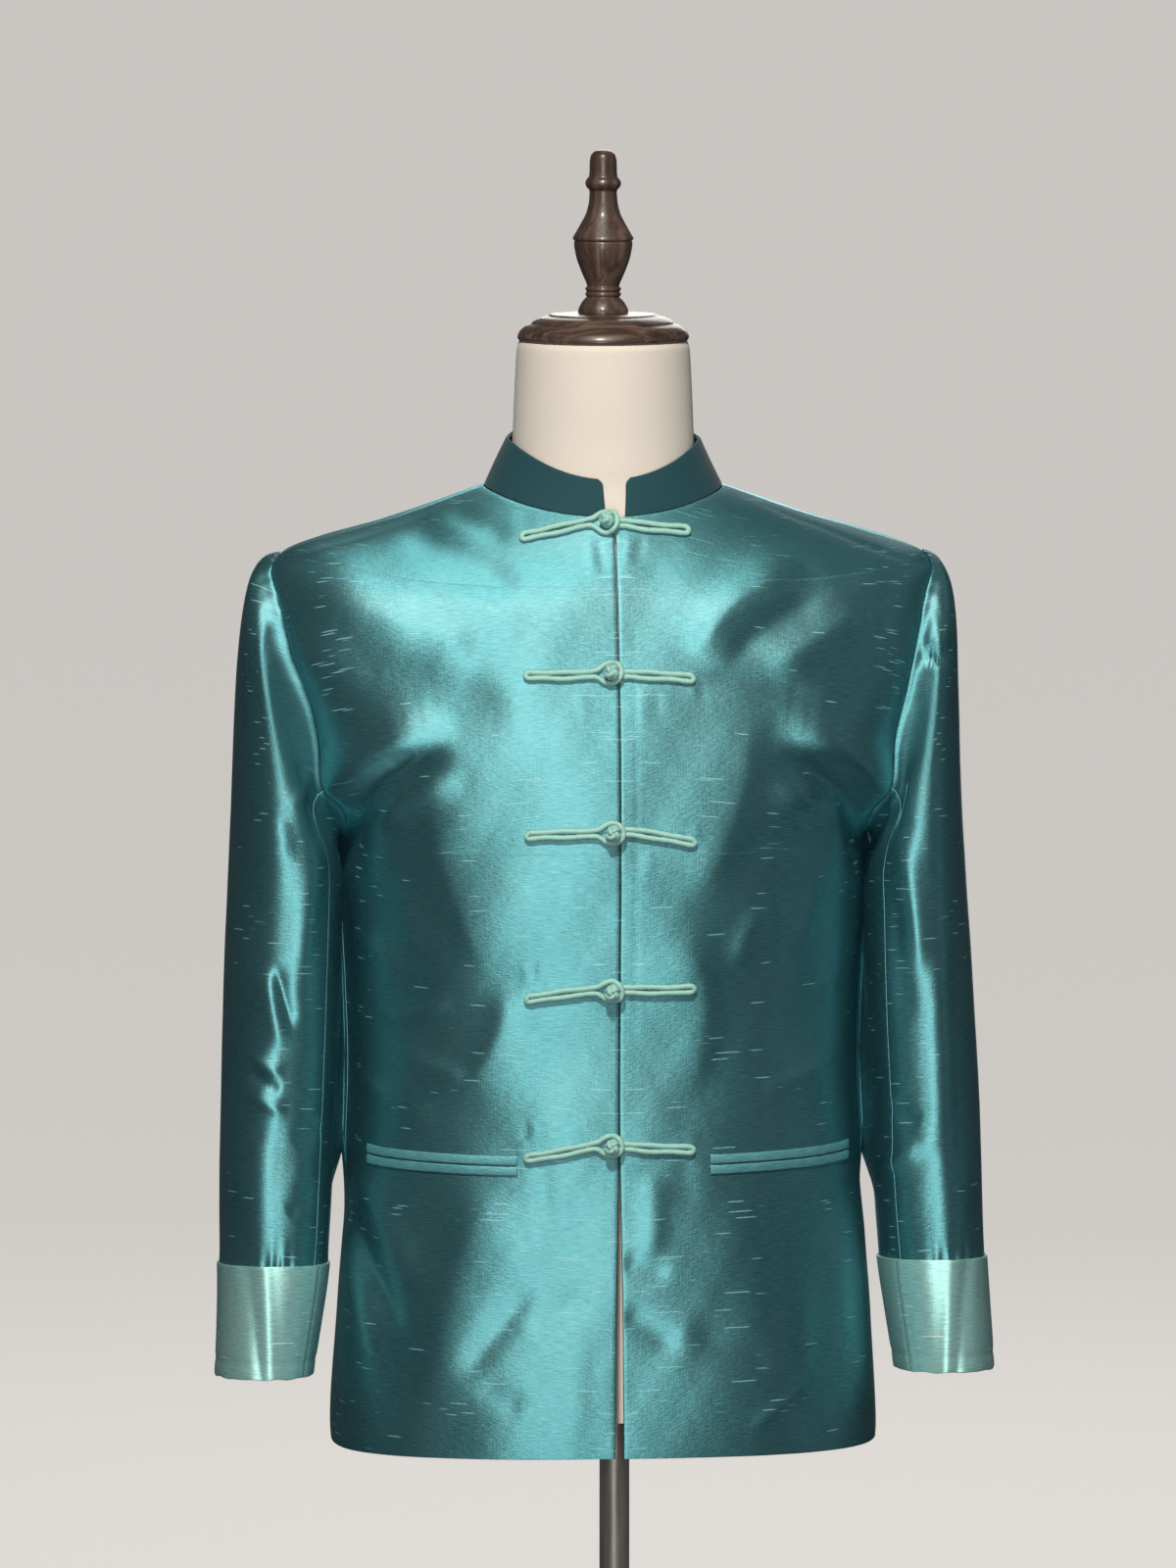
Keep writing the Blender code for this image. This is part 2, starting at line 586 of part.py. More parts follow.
def closed_cord(path, normals, radius):
    """A closed tube of CORD_SIDES sides along a loop of points."""
    path = np.array(path)
    ahead = unit(np.roll(path, -1, 0) - np.roll(path, 1, 0))
    out = unit(np.array(normals) - ahead * np.sum(np.array(normals) * ahead, -1, keepdims=True))
    across = np.cross(ahead, out)
    turn = 2 * math.pi * (np.arange(CORD_SIDES) + 0.5) / CORD_SIDES
    ring = out[:, None] * np.cos(turn)[None, :, None] + across[:, None] * np.sin(turn)[None, :, None]
    points = (path[:, None] + ring * radius).reshape(-1, 3)
    count = len(path)
    faces = []
    for i in range(count):
        for j in range(CORD_SIDES):
            k, m = (j + 1) % CORD_SIDES, (i + 1) % count
            faces.append((i * CORD_SIDES + j, i * CORD_SIDES + k, m * CORD_SIDES + k, m * CORD_SIDES + j))
    return points, faces


def hairpin(near_r, far):
    """Points (along, across, rise) of a doubled cord: round its near end with radius near_r, and tightly
    round its far end. rise is 1 where the near bend is furthest out."""
    half = STRAND_APART / 2
    near = [(-near_r * math.cos(a), near_r * math.sin(a), min(max((1.3 - abs(a)) / 0.6, 0), 1))
            for a in np.linspace(-1.75, 1.75, 9)]
    reach = [(f, half, 0) for f in np.linspace(near_r + 5 * MM, far - half, 4)]
    bend = [(far - half + half * math.sin(a), half * math.cos(a), 0) for a in (0.8, math.pi / 2, math.pi - 0.8)]
    back = [(f, -w, 0) for f, w, _ in reversed(reach)]
    return near + reach + bend + back


def frog_cord(number, front):
    """A doubled cord from the knot out along one front. On the wearer's right it loops round the knot and
    over the other half's strands, and on the left it starts below the knot."""
    z, right_drop, left_drop = FROG_ROWS[number]
    far = FROG_REACH[front.side]
    looped = front.side < 0
    drop = (right_drop if looped else left_drop) * MM
    step_over = 2 * CORD_R + SEAM if looped else 0
    path, normals = [], []
    for along, across, rise in hairpin(LOOP_R if looped else STRAND_APART / 2, far):
        height = z * MM + across - drop * max(along - STRAIGHT, 0) / (far - STRAIGHT)
        lift = CORD_R + CORD_CLEAR + step_over * rise * rise * (3 - 2 * rise)
        point, normal = front.place(FROG_X + along * front.side, height, lift)
        path.append(point)
        normals.append(normal)
    return closed_cord(path, normals, CORD_R)


def frog_ball(number, front):
    """The ball of the knot, which stands on its strands."""
    centre, _ = front.place(FROG_X, FROG_ROWS[number][0] * MM, CORD_CLEAR + KNOT_LIFT)
    polar = np.linspace(0, math.pi, 8)[1:-1]
    turn = 2 * math.pi * np.arange(9) / 9
    rings = np.stack([
        np.sin(polar)[:, None] * np.cos(turn)[None, :],
        -np.cos(polar)[:, None] * np.ones_like(turn)[None, :],
        np.sin(polar)[:, None] * np.sin(turn)[None, :],
    ], -1)
    return lathe(centre + rings * KNOT_R)


def form_torso():
    """The dress form: the body's surface drawn in by the cloth and the ease, and then a round neck. Its
    corners lie under those of the panels, so that the two stay apart evenly where the ease is small."""
    rows = panel_rows()
    rows = np.concatenate([[row_at_height(FORM_FOOT_Z)], rows[rows > 0.45]])
    front, back = side_angles(rows, "front")[:, None], side_angles(rows, "back")[:, None]
    share = np.linspace(0, 1, FRONT_COLUMNS + 1)[None, :]
    ahead = front * share
    behind = back + (2 * math.pi - 2 * back) * np.linspace(0, 1, BACK_COLUMNS + 1)[None, :]
    middle = (front + back) / 2
    a = np.concatenate([ahead, middle, behind, 2 * math.pi - middle, 2 * math.pi - ahead[:, :0:-1]], 1)
    r = np.broadcast_to(rows[:, None], a.shape)
    ease = smooth_rows(BODY_ROWS, r)[..., 7:] * MM
    points = plain_body(a, r) - surface_normal(plain_body, a, r) * (CLOTH + ease)
    points[0, :, 2] = FORM_FOOT_Z
    neck = []
    for z, half, front, back in NECK_ROWS + ((NECK_TOP_Z / MM, 58.0, 58.0, 58.0),):
        neck.append(ring_point(np.array([z, half, z, front, z, back, 2.0]), a[-1]))
    return lathe(np.concatenate([points, np.array(neck)]))


def turned(profile, base_z, around=TURNED_ROUND):
    """A piece turned on a lathe from (radius, height) pairs in millimetres."""
    rows = [(r, z) for r, z in profile if r > 0]
    turn = 2 * math.pi * np.arange(around) / around
    rings = [np.stack([r * MM * np.cos(turn), r * MM * np.sin(turn), np.full(around, base_z + z * MM)], -1)
             for r, z in rows]
    return lathe(np.array(rings))


def stand_base():
    edge = BASE_EDGE / MM
    profile = ((BASE_R / MM, 0), (BASE_R / MM, BASE_THICK / MM - edge), (BASE_R / MM - edge, BASE_THICK / MM),
               (BOSS_R / MM + 2, BASE_THICK / MM), (BOSS_R / MM, BASE_THICK / MM + 2),
               (BOSS_R / MM, BOSS_TALL / MM - 2), (BOSS_R / MM - 2, BOSS_TALL / MM))
    return turned(profile, 0.0, 32)


def stand_pole():
    profile = ((POLE_R / MM, 0), (POLE_R / MM, (FORM_FOOT_Z - BOSS_TALL - 2 * SEAM) / MM))
    return turned(profile, BOSS_TALL + SEAM, 20)


def build():
    for old in list(bpy.data.objects):
        bpy.data.objects.remove(old, do_unlink=True)
    figure = bpy.data.objects.new("figure", None)
    figure.location.x = FIGURE_X
    jacket = bpy.data.objects.new("jacket", None)
    jacket.parent = figure
    stand = bpy.data.objects.new("stand", None)
    for empty in (figure, jacket, stand):
        bpy.context.scene.collection.objects.link(empty)

    piece("back_panel", back_panel(), "silk", jacket)
    piece("stand_collar", collar_band(), "collar_cloth", jacket)
    fronts = {side: Front(side) for side in (1, -1)}
    mouth = POCKET_MOUTH / 2
    for name, side in (("left", 1), ("right", -1)):
        piece(f"front_{name}", front_panel(side), "silk", jacket)
        first, last = TOP_SLEEVE
        piece(f"sleeve_{name}_top", sleeve_part(side, first, last), "silk", jacket)
        piece(f"sleeve_{name}_under", sleeve_part(side, last, first + 2 * ROWS_ARMHOLE), "silk", jacket)
        piece(f"cuff_{name}", cuff(side), "cuff_silk", jacket)
        piece(f"welt_{name}_upper", welt(fronts[side], mouth, mouth + WELT_WIDTH), "silk", jacket)
        piece(f"welt_{name}_lower", welt(fronts[side], -mouth - WELT_WIDTH, -mouth), "silk", jacket)
    for number in FROG_ROWS:
        piece(f"frog_loop_{number}", frog_cord(number, fronts[-1]), "frog_cord", jacket)
        knot = piece(f"frog_knot_{number}", frog_cord(number, fronts[1]), "frog_cord", jacket)
        united(knot, piece("ball", frog_ball(number, fronts[-1]), "frog_cord", jacket))

    piece("form_torso", form_torso(), "form_linen", figure)
    piece("neck_cap", turned(CAP_PROFILE, CAP_Z), "turned_wood", figure)
    piece("neck_finial", turned(FINIAL_PROFILE, FINIAL_Z), "turned_wood", figure)
    piece("stand_pole", stand_pole(), "steel", stand)
    piece("stand_base", stand_base(), "base_steel", stand)


build()
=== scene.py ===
"""The looks of a silk jacket with a mandarin collar on a limbless dress form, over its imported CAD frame.

Metres, +Z up, the jacket faces -Y and +X is the wearer's left. Every cloth piece is a thin closed shell on a
surface of two parameters. The tables repeat the sizes of the CAD source, and the folds are drawn more sharply.
"""

import math

import bpy
import numpy as np
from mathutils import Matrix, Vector


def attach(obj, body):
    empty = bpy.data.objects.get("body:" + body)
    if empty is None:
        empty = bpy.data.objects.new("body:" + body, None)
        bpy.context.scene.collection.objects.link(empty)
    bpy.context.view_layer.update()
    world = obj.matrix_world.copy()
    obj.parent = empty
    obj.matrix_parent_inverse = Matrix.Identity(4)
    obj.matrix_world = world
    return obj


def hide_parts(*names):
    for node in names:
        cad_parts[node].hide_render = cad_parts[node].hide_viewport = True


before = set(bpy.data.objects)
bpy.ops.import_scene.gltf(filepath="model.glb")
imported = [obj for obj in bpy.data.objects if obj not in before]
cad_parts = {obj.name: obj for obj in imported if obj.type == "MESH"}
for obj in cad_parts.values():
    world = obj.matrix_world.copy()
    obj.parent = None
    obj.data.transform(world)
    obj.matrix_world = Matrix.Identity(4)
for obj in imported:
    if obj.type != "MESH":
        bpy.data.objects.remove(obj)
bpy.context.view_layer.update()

MM = 0.001

bl_info = {
    "name": "Mandarin collar jacket",
    "version": (1, 0, 0),
    "blender": (4, 5, 0),
    "location": "View3D > Sidebar > Jacket",
    "description": "Builds a silk jacket with frog closures on a dress form",
    "category": "Add Mesh",
}

# Sections of the jacket body in millimetres, from the hem to the neck seam, and the numbers of their columns.
# The square is the power of the superellipse, and the ease is the room between the cloth and the form.
SIDE_Z, HALF_WIDTH, FRONT_Z, FRONT_DEPTH, BACK_Z, BACK_DEPTH, SQUARE, EASE = range(8)
BODY_ROWS = {
    "hem": (497, 193, 503, 127, 499, 121, 2.3, 34),
    "skirt": (580, 186, 583, 126, 581, 117, 2.3, 28),
    "pocket": (706, 177, 706, 123, 706, 109, 2.35, 20),
    "waist": (772, 174, 772, 121, 772, 105, 2.35, 15),
    "ribs": (850, 177, 850, 128, 850, 112, 2.35, 14),
    "armpit": (922, 183, 921, 133, 922, 124, 2.4, 13),
    "chest": (975, 201, 970, 130, 975, 130, 2.5, 10),
    "armhole": (1030, 219, 1018, 122, 1032, 130, 2.6, 6),
    "shoulder_blade": (1080, 229, 1062, 110, 1084, 119, 2.6, 3),
    "shoulder": (1104, 230.5, 1088, 101, 1112, 106, 2.6, 2.4),
    "shoulder_point": (1116, 222, 1101, 94, 1126, 97, 2.5, 1.4),
    "yoke": (1137.5, 156, 1121, 80, 1149, 84, 2.3, 0.8),
    "neck": (1163, 82.5, 1146, 66, 1171, 71, 2.1, 7),
}
ROW_NAMES = list(BODY_ROWS)
ARMPIT_ROW = ROW_NAMES.index("armpit")
SHOULDER_ROW = ROW_NAMES.index("shoulder_point")
NECK_ROW = ROW_NAMES.index("neck")

# The gaps at seams and under laid-on pieces, and the armhole: an egg across the body's front and back
SEAM = 0.3 * MM
LAID_ON = 0.3 * MM
ARMHOLE_SEAM = 0.6 * MM
ARMHOLE_FRONT = 56 * MM
ARMHOLE_BACK = 60 * MM
ARMHOLE_EGG = 0.28
# The fronts' edges: where they meet, and half the gap between them by height in millimetres
CENTRE_X = 3.5 * MM
EDGE_GAP_Z = (495, 600, 690, 715, 1120, 1150)
EDGE_GAP_HALF = (3.0, 2.2, 0.6, 0.2, 0.2, 0.8)
# The hem turns in, and the sides are fuller under the arms, at an angle from the front and over a width
HEM_TURN = 2.2 * MM
HEM_ROWS = 0.14
SIDE_FULL = 8 * MM
SIDE_ANGLE = 1.69
SIDE_WIDE = 0.14

# Sections of the sleeve in millimetres, from the upper arm to its end
# Columns: z, outer_x, inner_x, half_depth, middle_y, slope
SLEEVE_ROWS = {
    "upper_arm": (888, 257.5, 181.0, 74, 4, 0.00),
    "above_elbow": (820, 261.5, 182.5, 71, 4, 0.02),
    "elbow": (750, 264.0, 185.0, 68, 1, 0.05),
    "forearm": (685, 266.0, 188.5, 64, -5, 0.08),
    "wrist": (624, 267.0, 193.5, 60, -11, 0.10),
    "end": (546, 270.0, 205.0, 55, -17, 0.09),
}
SLEEVE_SQUARE = 2.15
WRIST_ROW = list(SLEEVE_ROWS).index("wrist")
SLEEVE_END = len(SLEEVE_ROWS) - 1
HEAD_LONG = 75 * MM
FOREARM_ROW_LONG = 61 * MM
CUFF_TUCK = 0.16
CUFF_GIRTH = 0.31
# How far to the side the upright axes lie that the threads run round
THREAD_AXIS = 450 * MM
SLEEVE_AXIS = 197 * MM
CUFF_AXIS = 234 * MM
# The sleeve's head, and its ridge along the armhole, fullness behind, gathers below and puckers at the cuff
HEAD_REACH = {1: 27 * MM, -1: 35 * MM}
HEAD_SHARE = 0.34
FULLER_OUTSIDE = {1: -4.5, -1: 3.0}
DROP_SHARE = 0.58
SLEEVE_SEAMS = (-8 / 24, 9 / 24)
RIDGE_HIGH = 1.2 * MM
RIDGE_WIDE = 3.0 * MM
BEHIND_FULL = 10 * MM
BEHIND_TURN = 0.555
BEHIND_WIDE = 0.030
GATHER_HIGH = 0.35 * MM
CUFF_PUCKER_HIGH = 0.9 * MM

COLLAR_TOP = (1196.5, 66.8, 1172.0, 63.5, 1212.0, 67.0, 2.05, 0)
COLLAR_GAP_LOW = 5.4 * MM
COLLAR_GAP_HIGH = 8.0 * MM

# Creases, in millimetres as seen from the front or the back. Each is a ridge, or a trough where height is
# below 0, on a curve through three points. left and right are its widths on both sides of the way it runs,
# and sharp is the power of its profile: 2 is soft, towards 1 is crisp. The sleeves' are drawn on the left.
# Columns: x1, z1, x2, z2, x3, z3, left, right, height, sharp
BODY_CREASES = {
    "front": {
        "shoulder_roll_right": (-238, 1122, -212, 1086, -198, 1012, 54, 16, 10.5, 2),
        "armpit_break_right": (-198, 932, -170, 982, -104, 1006, 22, 8, 8.5, 1.9),
        "armpit_hollow_right": (-185, 886, -168, 956, -108, 991, 8, 11, -11.0, 1.8),
        "armpit_shelf_right": (-162, 930, -142, 960, -98, 972, 9, 13, 3.6, 2),
        "side_hollow_right": (-152, 930, -150, 850, -130, 752, 24, 26, -4.5, 2),
        "centre_edge_right_high": (-124, 968, -112, 905, -82, 832, 32, 12, 3.4, 1.7),
        "centre_edge_right_low": (-76, 832, -80, 790, -114, 740, 28, 11, 3.0, 1.7),
        "chest_light_right": (-212, 1102, -139, 1072, -88, 1056, 17, 19, 3.2, 1.8),
        "chest_valley_right": (-204, 1068, -132, 1034, -66, 1026, 17, 22, -3.2, 2),
        "yoke_valley_right": (-148, 1139, -102, 1121, -58, 1097, 10, 15, -3.0, 1.8),
        "collar_hollow_right": (-114, 1154, -90, 1141, -64, 1130, 7, 8, -2.0, 1.7),
        "wrinkle_right_1": (-160, 799, -136, 807, -108, 824, 5, 9, 2.6, 1.6),
        "wrinkle_right_2": (-150, 908, -141, 872, -136, 842, 8, 8, 2.2, 1.8),
        "wrinkle_right_3": (-150, 783, -122, 772, -96, 764, 6, 9, 2.4, 1.6),
        "wrinkle_right_4": (-174, 762, -150, 746, -118, 738, 7, 9, 1.9, 1.7),
        "wrinkle_right_5": (-176, 862, -158, 846, -132, 838, 7, 10, 2.0, 1.7),
        "skirt_light_right": (-184, 662, -173, 612, -160, 548, 9, 10, 4.2, 1.8),
        "skirt_dark_right": (-178, 668, -164, 626, -140, 580, 8, 9, -4.6, 1.7),
        "skirt_second_right": (-172, 694, -154, 655, -132, 610, 13, 9, 3.4, 1.8),
        "skirt_crest_right": (-80, 694, -108, 615, -132, 505, 42, 20, 3.6, 1.8),
        "skirt_diagonal_right": (-54, 626, -80, 590, -108, 552, 9, 13, -1.9, 1.6),
        "skirt_diagonal_low_right": (-12, 626, -36, 607, -60, 588, 9, 11, -1.0, 1.7),
        "edge_dip_right": (-16, 590, -14, 550, -20, 500, 10, 8, -0.45, 1.8),
        "hem_dent_right": (-92, 560, -78, 546, -60, 540, 9, 9, -0.9, 2),
        "yoke_ridge_left": (54, 1048, 86, 1090, 140, 1113, 15, 12, 3.2, 1.7),
        "yoke_hollow_left": (76, 1044, 108, 1075, 156, 1096, 9, 12, -2.8, 1.8),
        "chest_ridge_left": (100, 1041, 142, 1064, 184, 1090, 10, 14, 2.6, 1.7),
        "chest_crease_left": (54, 1044, 104, 1037, 146, 1026, 5, 7, -1.8, 1.5),
        "armpit_break_left": (196, 928, 168, 980, 106, 1002, 8, 22, 8.5, 1.9),
        "armpit_hollow_left": (180, 884, 164, 952, 110, 987, 11, 8, -11.0, 1.8),
        "armpit_lobe_left": (160, 972, 140, 952, 124, 940, 8, 8, -2.6, 1.8),
        "armpit_shelf_left": (160, 926, 142, 954, 100, 966, 13, 9, 3.4, 2),
        "side_hollow_left": (152, 926, 148, 850, 126, 750, 26, 24, -4.5, 2),
        "centre_edge_left_high": (90, 1024, 84, 952, 50, 884, 13, 28, 3.2, 1.7),
        "centre_edge_left_low": (42, 872, 62, 812, 46, 744, 12, 24, 2.6, 1.7),
        "wrinkle_left_1": (166, 818, 140, 826, 112, 840, 9, 6, 2.3, 1.6),
        "wrinkle_left_2": (162, 776, 130, 763, 100, 757, 9, 6, 2.3, 1.6),
        "wrinkle_left_3": (146, 904, 138, 876, 126, 852, 8, 8, 2.0, 1.8),
        "wrinkle_left_4": (108, 884, 92, 866, 84, 838, 8, 8, 1.7, 1.8),
        "skirt_patch_left": (23, 706, 27, 672, 22, 634, 9, 9, 1.5, 2),
        "skirt_dent_left_1": (4, 643, 20, 636, 42, 632, 8, 9, -1.4, 1.8),
        "skirt_dent_left_2": (4, 606, 24, 594, 50, 572, 9, 10, -1.8, 1.8),
        "skirt_sweep_left": (46, 592, 82, 580, 124, 566, 12, 14, -1.6, 2),
        "skirt_crest_left": (86, 694, 102, 610, 122, 500, 24, 36, 3.2, 1.8),
        "skirt_hollow_left": (138, 690, 148, 600, 158, 490, 18, 18, -3.8, 2),
        "skirt_ridge_left": (168, 684, 176, 600, 186, 490, 12, 14, 3.4, 1.8),
        "skirt_turn_left": (144, 560, 119, 540, 90, 518, 6, 7, 2.0, 1.5),
        "pocket_pull_right": (-58, 712, -46, 694, -56, 666, 9, 8, -0.6, 1.8),
        "pocket_pull_left": (56, 712, 48, 696, 54, 670, 9, 8, -0.6, 1.8),
        "shoulder_seam_right": (-238, 1104, -158, 1132, -76, 1166, 1.5, 1.9, -1.6, 2),
        "shoulder_seam_left": (238, 1104, 158, 1132, 76, 1166, 1.9, 1.5, -1.6, 2),
        "facing_line": (14, 1128, 14.5, 930, 14, 735, 1.6, 1.6, -0.14, 2),
    },
    "back": {
        "blade_drape_right": (-196, 1052, -134, 1004, -64, 986, 20, 18, 3.8, 1.8),
        "blade_hollow_right": (-192, 1018, -140, 976, -82, 962, 15, 17, -3.0, 2),
        "blade_drape_left": (196, 1058, 140, 1000, 70, 982, 18, 20, 3.4, 1.8),
        "blade_hollow_left": (192, 1022, 144, 974, 88, 958, 17, 15, -3.0, 2),
        "back_arm_break_right": (-186, 960, -160, 980, -128, 984, 14, 8, 3.0, 1.7),
        "back_arm_dip_right": (-180, 932, -152, 956, -112, 964, 9, 14, -4.6, 1.8),
        "back_arm_break_left": (186, 962, 158, 984, 124, 990, 8, 14, 3.2, 1.7),
        "back_arm_dip_left": (180, 930, 150, 958, 108, 968, 14, 9, -5.0, 1.8),
        "back_neck_drape": (-64, 1140, 2, 1114, 66, 1138, 10, 14, 1.7, 1.8),
        "back_hollow": (2, 904, -1, 740, -4, 540, 34, 38, -4.2, 2),
        "back_drop_right": (-96, 910, -88, 700, -84, 400, 26, 30, 3.8, 2),
        "back_drop_left": (90, 900, 92, 700, 100, 400, 30, 26, 3.4, 2),
        "back_waist_right_1": (-150, 806, -108, 790, -48, 796, 7, 10, 2.0, 1.6),
        "back_waist_right_2": (-140, 774, -96, 764, -40, 770, 7, 9, 1.6, 1.7),
        "back_waist_left_1": (146, 792, 96, 778, 34, 786, 10, 7, 2.0, 1.6),
        "back_waist_left_2": (150, 838, 118, 822, 78, 822, 9, 7, 1.7, 1.7),
        "back_flare_right": (-148, 640, -156, 570, -164, 470, 16, 16, 3.4, 1.8),
        "back_flare_hollow_right": (-122, 640, -124, 570, -128, 470, 13, 13, -2.8, 2),
        "back_flare_left": (146, 636, 156, 566, 166, 470, 16, 16, 3.2, 1.8),
    },
}
SLEEVE_CREASES = {
    -1: {
        "front": {
            "head_dark": (246, 1112, 226, 1060, 208, 1006, 15, 15, -1.0, 2),
            "head_fork": (204, 972, 212, 956, 222, 940, 5, 6, 2.0, 1.6),
            "head_spot": (224, 948, 216, 930, 213, 908, 8, 8, -1.8, 1.9),
            "light_upper": (199, 934, 207, 876, 213, 818, 9, 8, 3.2, 1.7),
            "light_branch": (236, 842, 231, 806, 224, 776, 8, 7, 2.2, 1.7),
            "dark_sliver": (230, 842, 224, 816, 216, 790, 5, 6, -3.2, 1.5),
            "light_elbow": (226, 800, 216, 764, 224, 716, 12, 13, -1.9, 2.2),
            "elbow_point_1": (246, 778, 236, 768, 222, 762, 4, 5, 1.8, 1.5),
            "elbow_dip_1": (250, 766, 238, 757, 224, 752, 5, 5, -2.2, 1.6),
            "elbow_point_2": (248, 752, 236, 742, 220, 736, 4, 6, 2.0, 1.5),
            "elbow_inner_dip": (198, 730, 206, 722, 216, 712, 6, 6, -2.0, 1.7),
            "light_lower": (218, 736, 226, 684, 223, 618, 13, 13, -2.2, 2.4),
            "wrist_dip": (206, 690, 212, 674, 222, 664, 6, 6, -1.8, 1.7),
        },
        "back": {
            "back_elbow_dip": (252, 806, 230, 782, 206, 770, 10, 8, -3.4, 1.8),
            "back_elbow_ridge": (250, 784, 232, 764, 208, 752, 7, 7, 2.2, 1.7),
            "back_forearm_dip": (254, 728, 234, 706, 212, 694, 9, 8, -2.6, 1.8),
            "back_crease": (224, 960, 232, 800, 236, 650, 16, 18, 2.8, 1.8),
            "back_under_break": (204, 946, 220, 916, 240, 890, 9, 10, -3.0, 1.8),
        },
    },
    1: {
        "front": {
            "cap_pinch": (203, 1044, 219, 1048, 238, 1043, 6, 3.5, -3.6, 1.5),
            "cap_bulge": (206, 1058, 220, 1060, 238, 1056, 8, 8, 2.2, 1.8),
            "light_seam": (203, 1034, 195, 980, 201, 930, 9, 8, 2.6, 1.7),
            "light_upper": (200, 940, 209, 880, 216, 826, 8, 9, 3.2, 1.7),
            "light_middle": (212, 850, 214, 770, 216, 690, 12, 12, -2.0, 2.4),
            "light_lower": (216, 712, 218, 680, 218, 616, 12, 12, -2.0, 2.4),
            "outer_dark": (240, 900, 243, 780, 244, 660, 10, 9, -2.2, 1.8),
            "inner_dark": (196, 900, 200, 840, 204, 790, 7, 6, -2.4, 1.8),
            "elbow_patch": (193, 690, 202, 700, 213, 716, 6, 7, 2.2, 1.7),
            "elbow_dip": (196, 742, 204, 730, 214, 722, 6, 6, -2.0, 1.7),
        },
        "back": {
            "back_elbow_dip": (252, 800, 230, 776, 206, 764, 9, 8, -3.2, 1.8),
            "back_forearm_dip": (254, 722, 234, 702, 210, 690, 9, 8, -2.6, 1.8),
            "back_crease": (224, 960, 232, 800, 236, 650, 16, 18, 2.6, 1.8),
            "back_under_break": (204, 940, 220, 912, 240, 886, 9, 10, -2.8, 1.8),
        },
    },
}

# Short puckers of the fronts, in millimetres: where they start (x, z), their fall, lean, width and height
PUCKERS = (
    (-68, 1153, 13, 5, 2.6, 0.8), (-59, 1152, 16, 4, 2.4, -0.9), (-50, 1150, 12, 3, 2.4, 0.8),
    (-40, 1149, 14, 2, 2.6, -0.7), (-15, 1136, 34, 5, 2.6, 0.9), (-8, 1134, 26, 3, 2.2, -0.8),
    (13, 1136, 30, -3, 2.6, 0.9), (22, 1136, 20, -4, 2.4, -0.7), (-61, 848, 17, 3, 2.2, 1.0),
    (-56, 851, 20, 1, 2.2, -1.0), (-51, 846, 14, 0, 2.2, 0.8), (-60, 736, 13, 1, 2.2, -1.2),
    (-55, 738, 16, 0, 2.2, 0.8), (53, 1044, 15, 3, 2.4, 0.8), (58, 1040, 18, 5, 2.4, -0.8),
    (20, 1034, 26, -2, 2.8, 0.7), (30, 1033, 22, -1, 2.6, -0.7), (-22, 1032, 24, 3, 2.6, 0.6),
    (-24, 929, 20, 4, 2.6, 0.6), (24, 928, 26, -3, 2.6, 0.7), (54, 944, 14, 2, 2.4, 0.7),
    (55, 838, 15, 2, 2.4, -0.8), (-30, 846, 9, -3, 2.6, 0.6), (54, 730, 14, 2, 2.4, 0.7),
    (-64, 722, 10, 3, 2.2, 0.7), (-169, 722, 12, -5, 2.4, 0.8), (168, 722, 12, 5, 2.4, 0.8),
)

PUCKER_WIDER = 1.25
PUCKER_SHARE = 0.3

# Waves of the cloth all over it: wavelengths along x, y and z in metres, phase, and height in millimetres
RIPPLES = (
    (0.190, 0.310, 0.270, 0.4, 0.45), (-0.120, 0.260, 0.180, 2.1, 0.30), (0.083, -0.190, 0.133, 4.0, 0.16),
    (-0.061, 0.115, 0.300, 1.2, 0.10), (0.047, 0.090, -0.094, 5.2, 0.070), (-0.036, -0.075, 0.062, 3.3, 0.040),
    (0.027, 0.055, 0.041, 0.9, 0.024), (-0.019, 0.048, 0.033, 2.7, 0.014),
)

POCKET_Z = 706 * MM
POCKET_INNER_X = 66 * MM
POCKET_OUTER_X = 166 * MM
POCKET_MOUTH = 0.9 * MM
WELT_WIDTH = 6.4 * MM
WELT_CLOTH = 1.3 * MM

# The frogs' heights, and how far the ends of their right and left halves drop, in millimetres
FROG_ROWS = {1: (1141.5, 9, 6), 2: (1043, 1, 4), 3: (937, 3, 7), 4: (828, 6, -1), 5: (720, 8, 4)}
FROG_REACH = {-1: 58 * MM, 1: 56 * MM}
FROG_X = -2 * MM
STRAND_APART = 4.1 * MM
CORD_CLEAR = 0.4 * MM
KNOT_LIFT = 7.9 * MM
LOOP_R = 7.0 * MM
KNOT_R = 4.1 * MM
KNOT_WEAVE = 0.62 * MM
KNOT_CORD = 1.55 * MM
KNOT_HEART = 4.5 * MM
STRAIGHT = 12 * MM

# The dress form, under the jacket's middle, and its stand
FIGURE_X = -8 * MM
FORM_ROOM = 5.0
FORM_CLEAR = 0.6
FORM_CLOTH = 1.4 * MM
MIDDLE_Z = 0.9
FORM_FOOT_Z = 522 * MM
